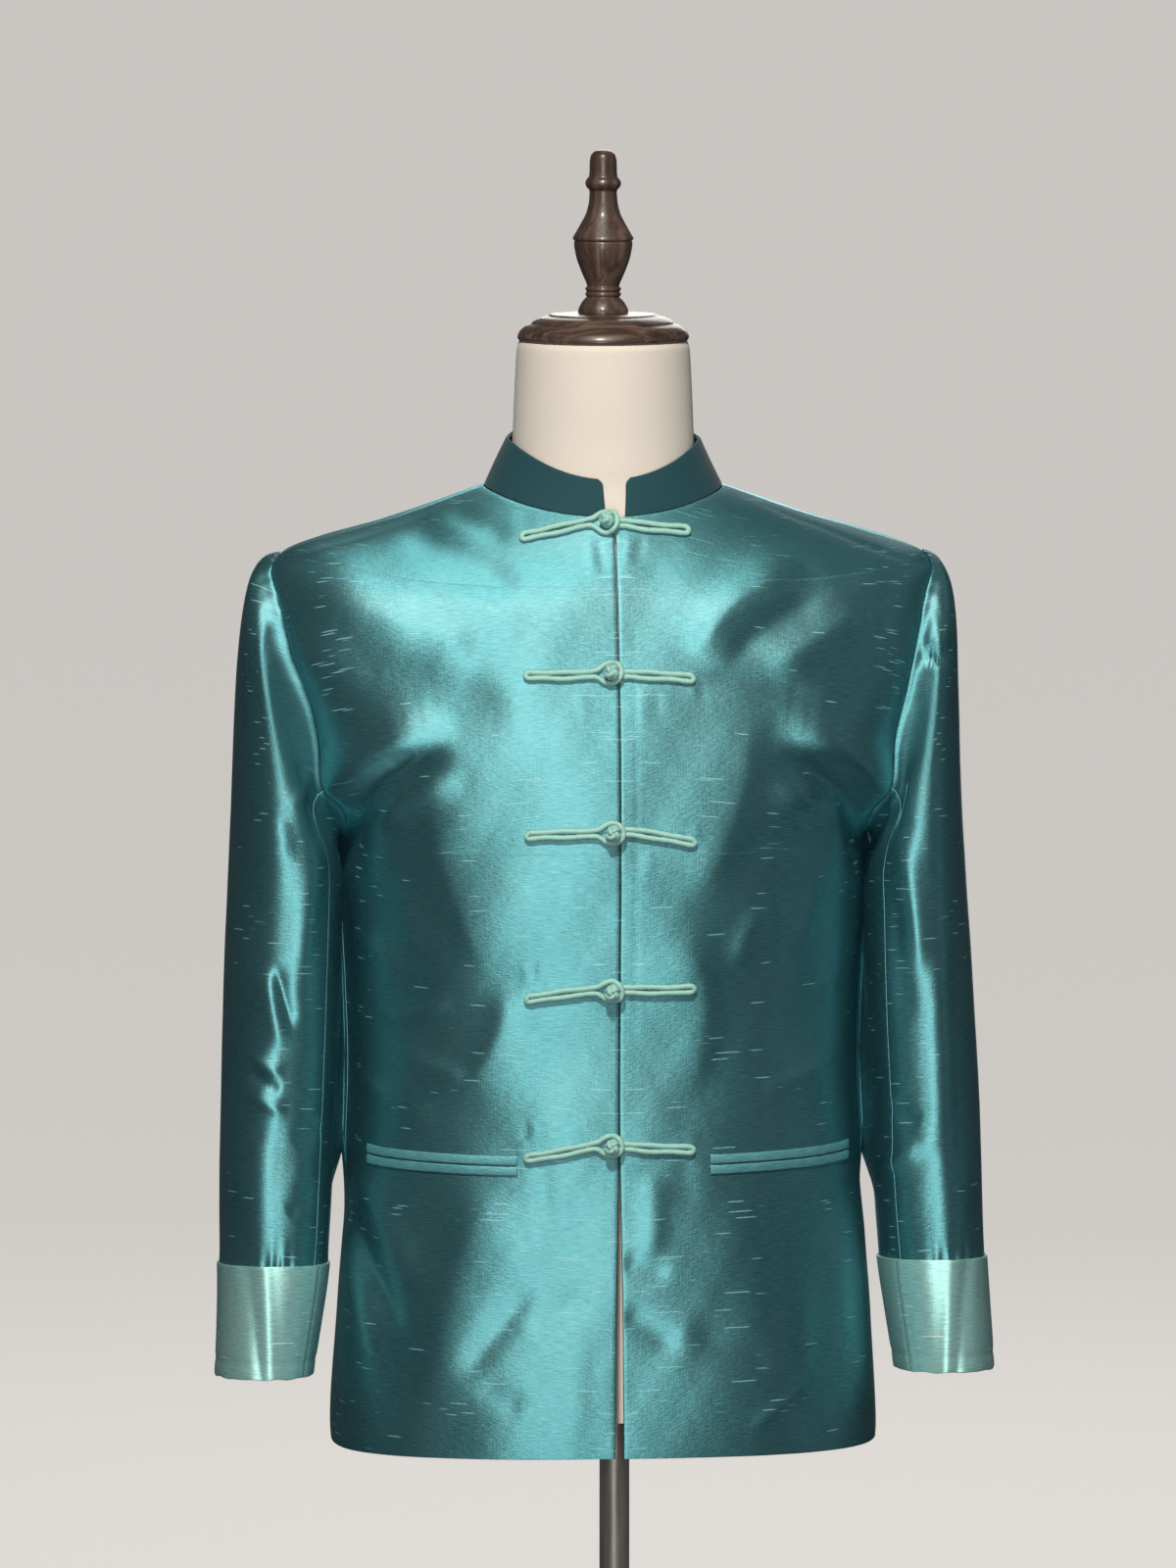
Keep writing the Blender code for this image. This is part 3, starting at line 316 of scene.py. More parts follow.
# The form's neck in millimetres: height, half width, and depth in front and behind
NECK_ROWS = ((1176, 63.5, 60, 62), (1200, 62.5, 59, 61), (1235, 61, 59.5, 60), (1258, 59.6, 59.6, 59.6),
             (1262.7, 58, 58, 58))
CAP_Z = 1263 * MM
CAP_PROFILE = ((57.6, 0), (59.2, 1.4), (59.2, 3.4), (57.4, 7.0), (53.4, 10.2), (49.2, 11.9), (48.4, 13.2),
               (43.6, 15.8), (37.6, 17.2), (36.6, 18.3), (26.0, 18.8))
FINIAL_Z = 1282.1 * MM
FINIAL_PROFILE = (
    (17.4, 0), (17.0, 3.0), (15.0, 7.0), (12.2, 10.4), (11.2, 11.0), (12.4, 12.4),
    (12.2, 13.9), (11.2, 14.6), (12.4, 15.9), (12.2, 17.4), (11.0, 18.2), (11.6, 20.4),
    (15.0, 28.0), (18.4, 37.0), (20.0, 45.0), (20.2, 48.6), (19.6, 49.4), (21.0, 50.8),
    (20.8, 52.2), (19.4, 54.6), (15.6, 61.2), (11.9, 68.0), (10.0, 75.0), (9.4, 82.4),
    (9.6, 84.6), (11.4, 86.2), (12.6, 89.2), (11.4, 92.2), (9.5, 94.0), (9.4, 104.6),
    (8.3, 109.2), (5.2, 111.6), (1.5, 112.2),
)
# The stand, in millimetres
POLE_R = 10.5
BASE_R = 145
BASE_THICK = 8
BASE_EDGE = 3
BOSS_R = 21
BOSS_TALL = 26


def length(name, description, default):
    """A length in metres on the panel."""
    return bpy.props.FloatProperty(name=name, description=description, default=default, unit="LENGTH",
                                   precision=4)


def share_of(name, description, default, most):
    """A factor from 0 to most on the panel."""
    return bpy.props.FloatProperty(name=name, description=description, default=default, subtype="FACTOR",
                                   min=0.0, max=most)


def tint(name, of, default):
    """A colour on the panel."""
    return bpy.props.FloatVectorProperty(name=name, description=f"Colour of the {of}", default=default, size=3,
                                         subtype="COLOR")


class JacketSizes(bpy.types.PropertyGroup):
    silk_thick: length("Silk", "Thickness of the silk", 0.0014)
    collar_thick: length("Collar", "Thickness of the stiffened collar", 0.0024)
    cuff_thick: length("Cuffs", "Thickness of the turned cuffs", 0.0018)
    cord_radius: length("Frog cord", "Radius of the frogs' cord", 0.0019)
    crease_height: share_of("Creases", "Height of the creases against the drawn ones", 1.0, 2.0)
    slub_share: share_of("Slubs", "How many thick threads the silk has", 0.5, 1.0)


class JacketColours(bpy.types.PropertyGroup):
    silk: tint("Silk", "silk", (0.136, 0.440, 0.500))
    cuff: tint("Cuffs", "cuffs' silk", (0.47, 0.93, 0.88))
    collar: tint("Collar", "collar's cloth", (0.009, 0.062, 0.080))
    cord: tint("Frog cord", "frogs' cord", (0.38, 0.69, 0.63))
    linen: tint("Linen", "dress form's cover", (0.80, 0.73, 0.67))
    wood: tint("Wood", "turned wood", (0.068, 0.040, 0.030))
    steel: tint("Pole", "pole's steel", (0.50, 0.46, 0.43))
    base: tint("Base", "base's coating", (0.035, 0.035, 0.037))


def sizes():
    return bpy.context.scene.jacket_sizes


def colour_of(key):
    """One of the panel's colours as a plain tuple."""
    return tuple(getattr(bpy.context.scene.jacket_colours, key))


# Shapes

def smooth_rows(table, place):
    """Each column of a table at a row number between rows, by cubics whose slopes are harmonic means."""
    values = np.array(list(table.values()), float)
    steps = np.diff(values, axis=0)
    slopes = np.zeros_like(values)
    before, after = steps[:-1], steps[1:]
    agree = before * after > 0
    slopes[1:-1][agree] = (2 * before * after)[agree] / (before + after)[agree]
    slopes[0], slopes[-1] = steps[0], steps[-1]
    place = np.clip(np.asarray(place, float), 0, len(values) - 1)
    low = np.minimum(place.astype(int), len(values) - 2)
    f = (place - low)[..., None]
    return (
        values[low] * (2 * f**3 - 3 * f**2 + 1)
        + slopes[low] * (f**3 - 2 * f**2 + f)
        + values[low + 1] * (3 * f**2 - 2 * f**3)
        + slopes[low + 1] * (f**3 - f**2)
    )


def ring_point(row, angle):
    """A point of a tipped superellipse: x = half width * sin, y = depth * cos, both over the superellipse's
    radius, and its height runs from the side's to the front's or the back's with the square of the cosine."""
    side_z, half, front_z, front, back_z, back, square = (row[..., i] for i in range(7))
    s, c = np.sin(angle), np.cos(angle)
    k = (np.abs(s) ** square + np.abs(c) ** square) ** (-1 / square)
    ahead = c > 0
    x = half * s * k
    y = -np.where(ahead, front, back) * c * k
    z = side_z + (np.where(ahead, front_z, back_z) - side_z) * (c * k) ** 2
    return np.stack([x, y, z], -1) * MM


def angle_at(row, across, face="side"):
    """The angle on a ring at the distance across to the side, or forwards or back on the front or the back."""
    square = row[..., SQUARE]
    full = row[..., {"side": HALF_WIDTH, "front": FRONT_DEPTH, "back": BACK_DEPTH}[face]]
    share = np.clip(np.abs(across) / (full * MM), 0, 1)
    other = (1 - share**square) ** (1 / square)
    if face == "side":
        return np.arctan2(share, other) * np.sign(across)
    turned = np.arctan2(other, share)
    return turned if face == "front" else math.pi - turned


def unit(v):
    """Vectors made 1 long."""
    return v / np.maximum(np.linalg.norm(v, axis=-1, keepdims=True), 1e-12)


def smoothstep(f):
    """0 below 0, 1 above 1, and 3 f^2 - 2 f^3 between them."""
    f = np.clip(f, 0, 1)
    return f * f * (3 - 2 * f)


def surface_normal(surface, a, b, step=2e-3):
    """The outward normal of surface(a, b), from short differences both ways."""
    across = surface(a + step, b) - surface(a - step, b)
    along = surface(a, b + step) - surface(a, b - step)
    return unit(np.cross(across, along))


def crease_height(x, z, crease, pieces=14):
    """A crease's height at points (x, z) in millimetres: height * exp(-(distance / width)^sharp) from the
    curve, which fades in and out over its ends."""
    x1, z1, x2, z2, x3, z3, left, right, height, sharp = crease
    t = np.linspace(0, 1, pieces + 1)[:, None]
    start, end = np.array([x1, z1], float), np.array([x3, z3], float)
    control = 2 * np.array([x2, z2], float) - (start + end) / 2
    line = start * (1 - t) ** 2 + control * 2 * t * (1 - t) + end * t**2
    reach = 3.2 * max(left, right)
    near = (x > line[:, 0].min() - reach) & (x < line[:, 0].max() + reach)
    near &= (z > line[:, 1].min() - reach) & (z < line[:, 1].max() + reach)
    total = np.zeros_like(x)
    if not near.any():
        return total
    point = np.stack([x[near], z[near]], -1)
    step = np.diff(line, axis=0)
    square = np.sum(step**2, -1)
    away = point[None] - line[:-1, None]
    share = np.clip(np.sum(away * step[:, None], -1) / square[:, None], 0, 1)
    off = away - share[..., None] * step[:, None]
    distance = np.sum(off**2, -1)
    best = np.argmin(distance, axis=0)
    pick = np.arange(len(point))
    distance = np.sqrt(distance[best, pick])
    side = step[best, 0] * away[best, pick, 1] - step[best, 1] * away[best, pick, 0]
    along = (best + share[best, pick]) / pieces
    width = np.where(side > 0, left, right)
    fade = smoothstep(along / 0.3) * smoothstep((1 - along) / 0.3)
    total[near] = height * fade * np.exp(-((distance / width) ** sharp))
    return total


def face_shares(point):
    """How far each point is on the front and on the back, each from 0 to 1 over the first 50 mm."""
    return {"front": np.clip(-point[..., 1] / 0.05, 0, 1), "back": np.clip(point[..., 1] / 0.05, 0, 1)}


def creased(point, creases):
    """The sum of all creases at each point, in metres, on the side of the cloth that each lies on."""
    x, z = point[..., 0] / MM, point[..., 2] / MM
    total = np.zeros_like(x)
    for face, share in face_shares(point).items():
        for crease in creases[face].values():
            total += crease_height(x, z, crease) * share
    return total * MM * sizes().crease_height


def rippled(point):
    """Long and short waves all over: the sum of height * sin(x / a + y / b + z / c + phase)."""
    total = np.zeros(point.shape[:-1])
    for along_x, along_y, along_z, phase, height in RIPPLES:
        turns = point[..., 0] / along_x + point[..., 1] / along_y + point[..., 2] / along_z
        total += height * np.sin(2 * math.pi * turns + phase)
    return total * MM


def puckered(point):
    """Short straight creases where the fronts are gathered by the frogs, the collar and the pockets."""
    x, z = point[..., 0] / MM, point[..., 2] / MM
    total = np.zeros_like(x)
    for px, pz, fall, lean, width, height in PUCKERS:
        crease = (px, pz, px + lean * 0.4, pz - fall / 2, px + lean, pz - fall, width * PUCKER_WIDER,
                  width * PUCKER_WIDER, height, 1.8)
        total += crease_height(x, z, crease, 3)
    return total * PUCKER_SHARE * MM * face_shares(point)["front"]


def plain_body(angle, row):
    """The body without its creases: its ring at a row number, at an angle from the front."""
    return ring_point(smooth_rows(BODY_ROWS, row), angle)


def body(angle, row):
    """The body's surface: its plain ring, moved out along its normal by creases, ripples and puckers. The
    ripples fade towards the collar, the hem turns in a little, and the sides are fuller under the arms."""
    point = plain_body(angle, row)
    high = smoothstep((NECK_ROW - np.asarray(row, float)) / 1.2)
    out = creased(point, BODY_CREASES) + rippled(point) * high + puckered(point)
    out -= HEM_TURN * np.exp(-np.maximum(row, 0) / HEM_ROWS) * np.ones_like(out)
    side = np.exp(-(((np.abs(np.arctan2(np.sin(angle), np.cos(angle))) - SIDE_ANGLE) / SIDE_WIDE) ** 2))
    out += SIDE_FULL * side * smoothstep((row - 1.5) / 0.6) * smoothstep((ARMPIT_ROW - 0.02 - row) / 0.12)
    room = np.maximum(smooth_rows(BODY_ROWS, row)[..., EASE], FORM_ROOM) * MM
    out = np.where(out < 0, room * np.tanh(out / room), out)
    return point + surface_normal(plain_body, angle, row) * out[..., None]


def armhole_place(turn):
    """The body's angle and row on the armhole, by a turn that is 0 at the shoulder point, a quarter in
    front, a half at the armpit and three quarters at the back. On the wearer's left."""
    a = 2 * math.pi * np.asarray(turn, float)
    row = ARMPIT_ROW + (SHOULDER_ROW - ARMPIT_ROW) * (1 + np.cos(a)) / 2
    reach = np.sin(a) * (1 - ARMHOLE_EGG * np.cos(a))
    section = smooth_rows(BODY_ROWS, row)
    front = angle_at(section, reach * ARMHOLE_FRONT, "front")
    back = angle_at(section, reach * ARMHOLE_BACK, "back")
    return np.where(reach >= 0, front, back), row


def sleeve_ring(turn, row, fuller=0.0):
    """A ring of the sleeve's tube: a superellipse between its inner and outer side, which leans forwards."""
    z, outer, inner, deep, middle, slope = np.moveaxis(smooth_rows(SLEEVE_ROWS, row), -1, 0)
    outer = outer + fuller * (1 - row / SLEEVE_END)
    a = 2 * math.pi * turn
    s, c = np.sin(a), np.cos(a)
    k = (np.abs(s) ** SLEEVE_SQUARE + np.abs(c) ** SLEEVE_SQUARE) ** (-1 / SLEEVE_SQUARE)
    x = (outer + inner) / 2 + (outer - inner) / 2 * c * k
    ahead = -deep * s * k
    return np.stack([x, middle + ahead, z - slope * ahead], -1) * MM


def plain_sleeve(side):
    """The sleeve on one side, drawn on the wearer's left. way is -1 at the armhole, 0 at the upper arm, and
    then a row of its table. The head is a cubic curve from the armhole to the ring below."""
    fuller = FULLER_OUTSIDE[side]
    turns = np.linspace(-0.4, 0.75, 1151)
    angles, rows = armhole_place(turns)
    edge = body(angles * side, rows) * np.array([side, 1.0, 1.0]) + np.array([ARMHOLE_SEAM, 0, 0])

    def plain(turn, way):
        turn, way = np.broadcast_arrays(np.asarray(turn, float), np.asarray(way, float))
        start = np.stack([np.interp(turn, turns, edge[:, i]) for i in range(3)], -1)
        a = 2 * math.pi * turn
        high = (1 + np.cos(a)) / 2
        leave = unit(np.stack([0.62 + 0.38 * high, -0.30 * np.sin(a), -0.72 + 0.98 * high], -1))
        ring = sleeve_ring(turn, np.zeros_like(turn), fuller)
        arrive = unit(sleeve_ring(turn, np.full_like(turn, 0.1), fuller) - ring)
        apart = np.linalg.norm(ring - start, axis=-1, keepdims=True)
        first = start + leave * np.minimum(HEAD_REACH[side], HEAD_SHARE * apart)
        second = ring - arrive * DROP_SHARE * apart
        f = np.clip(way + 1, 0, 1)[..., None]
        head = (1 - f) ** 3 * start + 3 * f * (1 - f) ** 2 * first + 3 * f**2 * (1 - f) * second + f**3 * ring
        return np.where((way < 0)[..., None], head, sleeve_ring(turn, np.maximum(way, 0), fuller))

    return plain


def sleeve(side, gathered=True):
    """The sleeve's surface with its creases, a rounded ridge along the armhole seam, small gathers below it,
    a fullness behind where it hangs against the body, and puckers just above the cuff."""
    plain = plain_sleeve(side)

    def shape(turn, way):
        point = plain(turn, way)
        down = np.maximum(way + 1, 0) * HEAD_LONG
        out = creased(point, SLEEVE_CREASES[side]) + rippled(point * np.array([side, 1, 1])) * 0.7
        out *= smoothstep(down / (10 * MM))
        out += RIDGE_HIGH * np.exp(-((down / RIDGE_WIDE) ** 2))
        behind = sum(np.exp(-(((turn - at) / BEHIND_WIDE) ** 2)) for at in (BEHIND_TURN, BEHIND_TURN - 1))
        out += BEHIND_FULL * behind * smoothstep((way + 0.85) / 0.5) * smoothstep((3.4 - way) / 0.8)
        gather = np.sin(2 * math.pi * turn * 34) * (0.6 + 0.4 * np.sin(2 * math.pi * turn * 5 + 1))
        out += GATHER_HIGH * gather * np.exp(-down / (9 * MM))
        above = np.maximum(WRIST_ROW - way, 0) * FOREARM_ROW_LONG
        pucker = 0.5 + 0.5 * np.sin(2 * math.pi * turn * 4 + 2 + side)
        pucker = np.sin(2 * math.pi * turn * 27 + side) * pucker
        out += CUFF_PUCKER_HIGH * pucker * np.exp(-above / (7 * MM)) * gathered
        return point + surface_normal(plain, turn, way) * out[..., None]

    return shape


def collar(angle, height):
    """The collar's band: straight up and inwards from the neck seam (0) to its upper edge (1)."""
    low = smooth_rows(BODY_ROWS, float(NECK_ROW)) + np.array([0.4, 0, 0.4, 0, 0.4, 0, 0, 0])
    high = np.array(COLLAR_TOP, float)
    h = np.asarray(height, float)[..., None]
    angle, _ = np.broadcast_arrays(np.asarray(angle, float), h[..., 0])
    wave = 0.35 * np.sin(angle * 3 + 0.6) * np.sin(math.pi * h[..., 0])
    return ring_point(low + (high - low) * h + wave[..., None] * np.array([0, 1, 0, 1, 0, 1, 0, 0]), angle)


# Meshes

def grid_normals(point, outside, closed=False):
    """Normals of a grid of points from its neighbours, turned to the side where outside is positive."""
    if closed:
        wide = np.concatenate([point[:, -2:], point, point[:, :2]], 1)
        across = np.gradient(wide, axis=1)[:, 2:-2]
    else:
        across = np.gradient(point, axis=1)
    normal = unit(np.cross(across, np.gradient(point, axis=0)))
    return normal if np.sum(normal * outside) > 0 else -normal


def cells(rows, columns, around):
    """The row i and column j of each cell of a grid of points, and its next column k, which wraps around."""
    i, j = np.meshgrid(np.arange(rows - 1), np.arange(columns if around else columns - 1), indexing="ij")
    i, j = i.ravel(), j.ravel()
    return i, j, (j + 1) % columns


def corners(grid, i, j, k, flip=False):
    """The four corners of each cell from a grid of numbers or UVs, the other way round with flip."""
    order = ((i, j), (i + 1, j), (i + 1, k), (i, k)) if flip else ((i, j), (i, k), (i + 1, k), (i + 1, j))
    return np.stack([grid[a, b] for a, b in order], 1)


def shell(point, normal, thick, uv, closed=False):
    """A closed sheet: the outer grid, the inner grid a thickness below it, and half-round edges between. On
    an edge the sheet goes out by r * sin(t) and in by r * (1 - cos(t)), with r half the thickness."""
    r = thick / 2
    rows, columns = point.shape[:2]
    bend = np.radians([30.0, 60.0, 90.0])
    iv = np.concatenate([[0, 0, 0], np.arange(rows), [rows - 1] * 3])
    tv = np.concatenate([-bend[::-1], np.zeros(rows), bend])
    if closed:
        iu, tu = np.arange(columns), np.zeros(columns)
    else:
        iu = np.concatenate([[0, 0, 0], np.arange(columns), [columns - 1] * 3])
        tu = np.concatenate([-bend[::-1], np.zeros(columns), bend])
    low, high = unit(point[0] - point[1]), unit(point[-1] - point[-2])
    first, last = unit(point[:, 0] - point[:, 1]), unit(point[:, -1] - point[:, -2])
    base, out = point[np.ix_(iv, iu)], normal[np.ix_(iv, iu)]
    aside = np.where((tv < 0)[:, None, None], low[iu][None], high[iu][None]) * np.abs(np.sin(tv))[:, None, None]
    ahead = np.where((tu < 0)[None, :, None], first[iv][:, None], last[iv][:, None])
    ahead = ahead * np.abs(np.sin(tu))[None, :, None]
    turn = (np.cos(tv)[:, None] * np.cos(tu)[None, :])[..., None]
    middle = base + (aside + ahead) * r - out * r
    upper, lower = middle + out * r * turn, middle - out * r * turn
    n, m = upper.shape[:2]
    grid = np.arange(n * m).reshape(n, m)
    rim = np.zeros((n, m), bool)
    rim[0] = rim[-1] = True
    if not closed:
        rim[:, 0] = rim[:, -1] = True
    under = np.where(rim, grid, 0)
    under[~rim] = n * m + np.arange(np.sum(~rim))
    points = np.concatenate([upper.reshape(-1, 3), lower[~rim]])
    i, j, k = cells(n, m, closed)
    top, bottom = corners(grid, i, j, k), corners(under, i, j, k, True)
    u, v = uv
    if closed:
        u, v = (np.concatenate([u, u[:, :1] + edge], 1) for u, edge in ((u, closed), (v, 0)))
        iu = np.arange(columns + 1)
        k = j + 1
    place = np.stack([u[np.ix_(iv, iu)], v[np.ix_(iv, iu)]], -1)
    uvs = np.concatenate([corners(place, i, j, k), corners(place, i, j, k, True)])
    return points, np.concatenate([top, bottom]), uvs


def lengths(point, origin=0, level=0):
    """Distances in metres on a grid of points: u round it from one column, and v up it from one row."""
    u = np.cumsum(np.linalg.norm(np.diff(point, axis=1), axis=-1), 1)
    u = np.concatenate([np.zeros((len(u), 1)), u], 1)
    v = np.cumsum(np.linalg.norm(np.diff(point, axis=0), axis=-1), 0)
    v = np.concatenate([np.zeros((1, v.shape[1])), v], 0)
    return u - u[:, [origin]], v - v[[level]]


def tube(path, normals, radius, sides):
    """A round tube along a closed path: at each point a circle in the plane of its normal and the cross
    product of that and the way ahead."""
    ahead = unit(np.roll(path, -1, 0) - np.roll(path, 1, 0))
    out = unit(normals - ahead * np.sum(normals * ahead, -1, keepdims=True))
    across = np.cross(ahead, out)
    turn = 2 * math.pi * np.arange(sides) / sides
    ring = out[:, None] * np.cos(turn)[None, :, None] + across[:, None] * np.sin(turn)[None, :, None]
    points = (path[:, None] + ring * np.asarray(radius, float).reshape(-1, 1, 1)).reshape(-1, 3)
    count = len(path)
    i, j, k = cells(count + 1, sides, True)
    m = (i + 1) % count
    faces = np.stack([i * sides + j, m * sides + j, m * sides + k, i * sides + k], -1)
    step = np.linalg.norm(np.roll(path, -1, 0) - path, axis=-1)
    far = np.concatenate([[0], np.cumsum(step)])
    round_ = 2 * math.pi * float(np.mean(radius)) / sides
    uv = np.stack([
        np.stack([far[i], j * round_], -1), np.stack([far[i + 1], j * round_], -1),
        np.stack([far[i + 1], (j + 1) * round_], -1), np.stack([far[i], (j + 1) * round_], -1),
    ], 1)
    return points, faces, uv


def joined(parts):
    """Several (points, faces, uv) as one."""
    points, faces, uvs, count = [], [], [], 0
    for p, f, uv in parts:
        points.append(p)
        faces.append(f + count)
        uvs.append(uv)
        count += len(p)
    return np.concatenate(points), np.concatenate(faces), np.concatenate(uvs)


def capped(rings):
    """A solid from rings, [along, round, xyz], closed by a fan at each end."""
    rows, columns = rings.shape[:2]
    i, j, k = cells(rows, columns, True)
    side = corners(np.arange(rows * columns).reshape(rows, columns), i, j, k)
    j = np.arange(columns)
    k = (j + 1) % columns
    low, high = rows * columns, rows * columns + 1
    foot = np.stack([k, j, np.full(columns, low)], -1)
    head = np.stack([(rows - 1) * columns + j, (rows - 1) * columns + k, np.full(columns, high)], -1)
    points = np.concatenate([rings.reshape(-1, 3), rings[0].mean(0)[None], rings[-1].mean(0)[None]])
    return points, [*side.tolist(), *foot.tolist(), *head.tolist()], None


def lathe(line, around):
    """Rings round the upright axis from (radius, height) pairs, [along, round, xyz]."""
    turn = 2 * math.pi * np.arange(around) / around
    r, z = line[:, :1], line[:, 1:]
    return np.stack([r * np.cos(turn), r * np.sin(turn), z + 0 * turn], -1)


def turned(profile, base_z, around=96):
    """A piece turned on a lathe from (radius, height) pairs in millimetres, whose corners are cut twice, at a
    fifth of each side."""
    line = np.array(profile, float)
    for _ in range(2):
        a, b = line[:-1], line[1:]
        inner = np.stack([a + (b - a) * 0.2, b + (a - b) * 0.2], 1).reshape(-1, 2)
        line = np.concatenate([line[:1], inner, line[-1:]])
    return capped(lathe(line * MM + [0, base_z], around))


def volume(points, faces):
    """The signed volume inside a closed mesh of quads."""
    a, b, c, d = (points[faces[:, i]] for i in range(4))
    return np.sum(np.cross(a, b) * c) + np.sum(np.cross(a, c) * d)


def made(name, shape, finish, nodes=(), shift=FIGURE_X, flat_shade=50, axis=(0.0, 0.0)):
    """One object from points, faces and the UVs of its corners. It rides on the body and stands for nodes.
    Its threads run round an upright axis, which its texture space is centred on. On the fronts and the back
    that axis is far off on the other side, so the threads run nearly straight across them."""
    points, faces, uv = shape
    points = points + np.array([shift, 0, 0])
    if uv is not None:
        if volume(points, faces) < 0:
            faces, uv = faces[:, ::-1], uv[:, ::-1]
        faces = faces.tolist()
    mesh = bpy.data.meshes.new(name)
    mesh.from_pydata(points.tolist(), [], faces)
    if uv is not None:
        layer = mesh.uv_layers.new(name="cloth")
        layer.data.foreach_set("uv", np.ascontiguousarray(uv, np.float32).ravel())
    mesh.shade_smooth()
    if flat_shade:
        mesh.set_sharp_from_angle(angle=math.radians(flat_shade))
    mesh.materials.append(finish)
    mesh.use_auto_texspace = False
    mesh.texspace_location = (axis[0] + shift, axis[1], MIDDLE_Z)
    mesh.texspace_size = (1.0, 1.0, 1.0)
    thing = bpy.data.objects.new(name, mesh)
    bpy.context.scene.collection.objects.link(thing)
    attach(thing, "root")
    if nodes:
        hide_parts(*nodes)
    return thing


# Materials

class Term:
    """A number in a material's nodes. Its operators add Math nodes."""

    def __init__(self, finish, socket):
        self.finish = finish
        self.socket = socket

    def _math(self, operation, first, second=None):
        values = [first] if second is None else [first, second]
        return self.finish.node("ShaderNodeMath", {"operation": operation}, *values)

    def __add__(self, other):
        return self._math("ADD", self, other)

    __radd__ = __add__

    def __sub__(self, other):
        return self._math("SUBTRACT", self, other)

    def __mul__(self, other):
        return self._math("MULTIPLY", self, other)

    def whole(self):
        """The whole number below it."""
        return self._math("FLOOR", self)

    def wave(self, pitch):
        """A sine wave from 0 to 1 of a pitch in metres."""
        return self._math("SINE", self * (2 * math.pi / pitch)) * 0.5 + 0.5

    def between(self, low, high):
        """0 below low, 1 above high, and smooth between them."""
        settings = {"interpolation_type": "SMOOTHSTEP"}
        return self.finish.node("ShaderNodeMapRange", settings, self, low, high, 0.0, 1.0)


class Finish:
    """One procedural material around a Principled shader, whose fixed values are set on its sockets."""

    def __init__(self, name, **fixed):
        self.material = bpy.data.materials.new(name)
        self.material.use_nodes = True
        self.tree = self.material.node_tree
        self.shader = self.tree.nodes["Principled BSDF"]
        for socket, value in fixed.items():
            self.shader.inputs[socket.replace("_", " ")].default_value = value

    def node(self, kind, settings, *values, output=0, **named):
        """A node of any kind. settings are its properties, or the stops of its ramp, and are set first."""
        new = self.tree.nodes.new(kind)
        for key, value in settings.items():
            if key == "stops":
                stops = new.color_ramp.elements
                while len(stops) < len(value):
                    stops.new(0.5)
                for stop, (place, colour) in zip(stops, value):
                    stop.position, stop.color = place, (*colour, 1.0)
            else:
                setattr(new, key, value)
        for key, value in [*enumerate(values), *named.items()]:
            socket = new.inputs[key.replace("_", " ") if isinstance(key, str) else key]
            self.put(value, socket)
        return Term(self, new.outputs[output])

    def put(self, value, socket):
        """A term linked to a socket, or a value set on it."""
        if isinstance(value, Term):
            self.tree.links.new(value.socket, socket)
        elif isinstance(value, (tuple, list)) and len(value) == 3 and socket.type == "RGBA":
            socket.default_value = (*value, 1.0)
        else:
            socket.default_value = value

    def cloth(self, turn=0.0):
        """The piece's own UV map, in metres, turned by a few degrees."""
        uv = self.node("ShaderNodeUVMap", {"uv_map": "cloth"})
        return self.mapped(uv, turn=turn) if turn else uv

    def place(self):
        """The place on the object, in metres."""
        return self.node("ShaderNodeTexCoord", {}, output=3)

    def mapped(self, vector, scale=(1, 1, 1), turn=0.0):
        """A vector scaled along each axis, or turned by degrees."""
        return self.node("ShaderNodeMapping", {}, vector, (0, 0, 0), (0, 0, math.radians(turn)), scale)

    def noise(self, vector, scale, detail=2.0, rough=0.5, bend=0.0):
        """Noise from 0 to 1. scale is its number of lumps for each unit, or three of them for the axes."""
        if isinstance(scale, tuple):
            vector, scale = self.mapped(vector, scale), 1.0
        return self.node("ShaderNodeTexNoise", {}, Vector=vector, Scale=scale, Detail=detail, Roughness=rough,
                         Distortion=bend)

    def part(self, vector, axis):
        """One coordinate of a vector."""
        return self.node("ShaderNodeSeparateXYZ", {}, vector, output="XYZ".index(axis))

    def blend(self, factor, first, second):
        """Two colours through a Mix node."""
        new = self.tree.nodes.new("ShaderNodeMix")
        new.data_type = "RGBA"
        for value, socket in ((factor, new.inputs[0]), (first, new.inputs[6]), (second, new.inputs[7])):
            self.put(value, socket)
        return Term(self, new.outputs[2])

    def done(self, tone, rough, height=None, strength=0.0, distance=0.0):
        """The material with its colour, its roughness, and a bump of a height where it has one."""
        self.put(tone, self.shader.inputs["Base Color"])
        self.put(rough, self.shader.inputs["Roughness"])
        if height is not None:
            bump = self.node("ShaderNodeBump", {}, Strength=strength, Distance=distance, Height=height)
            self.put(bump, self.shader.inputs["Normal"])
        return self.material


def shade(colour, factor, grey=0.0):
    """A colour made lighter or darker, and drawn towards grey by a share."""
    middle = sum(colour) / 3
    return tuple(max(0.0, min(1.0, (c + (middle - c) * grey) * factor)) for c in colour)


THREADS_PER_METRE = 1600


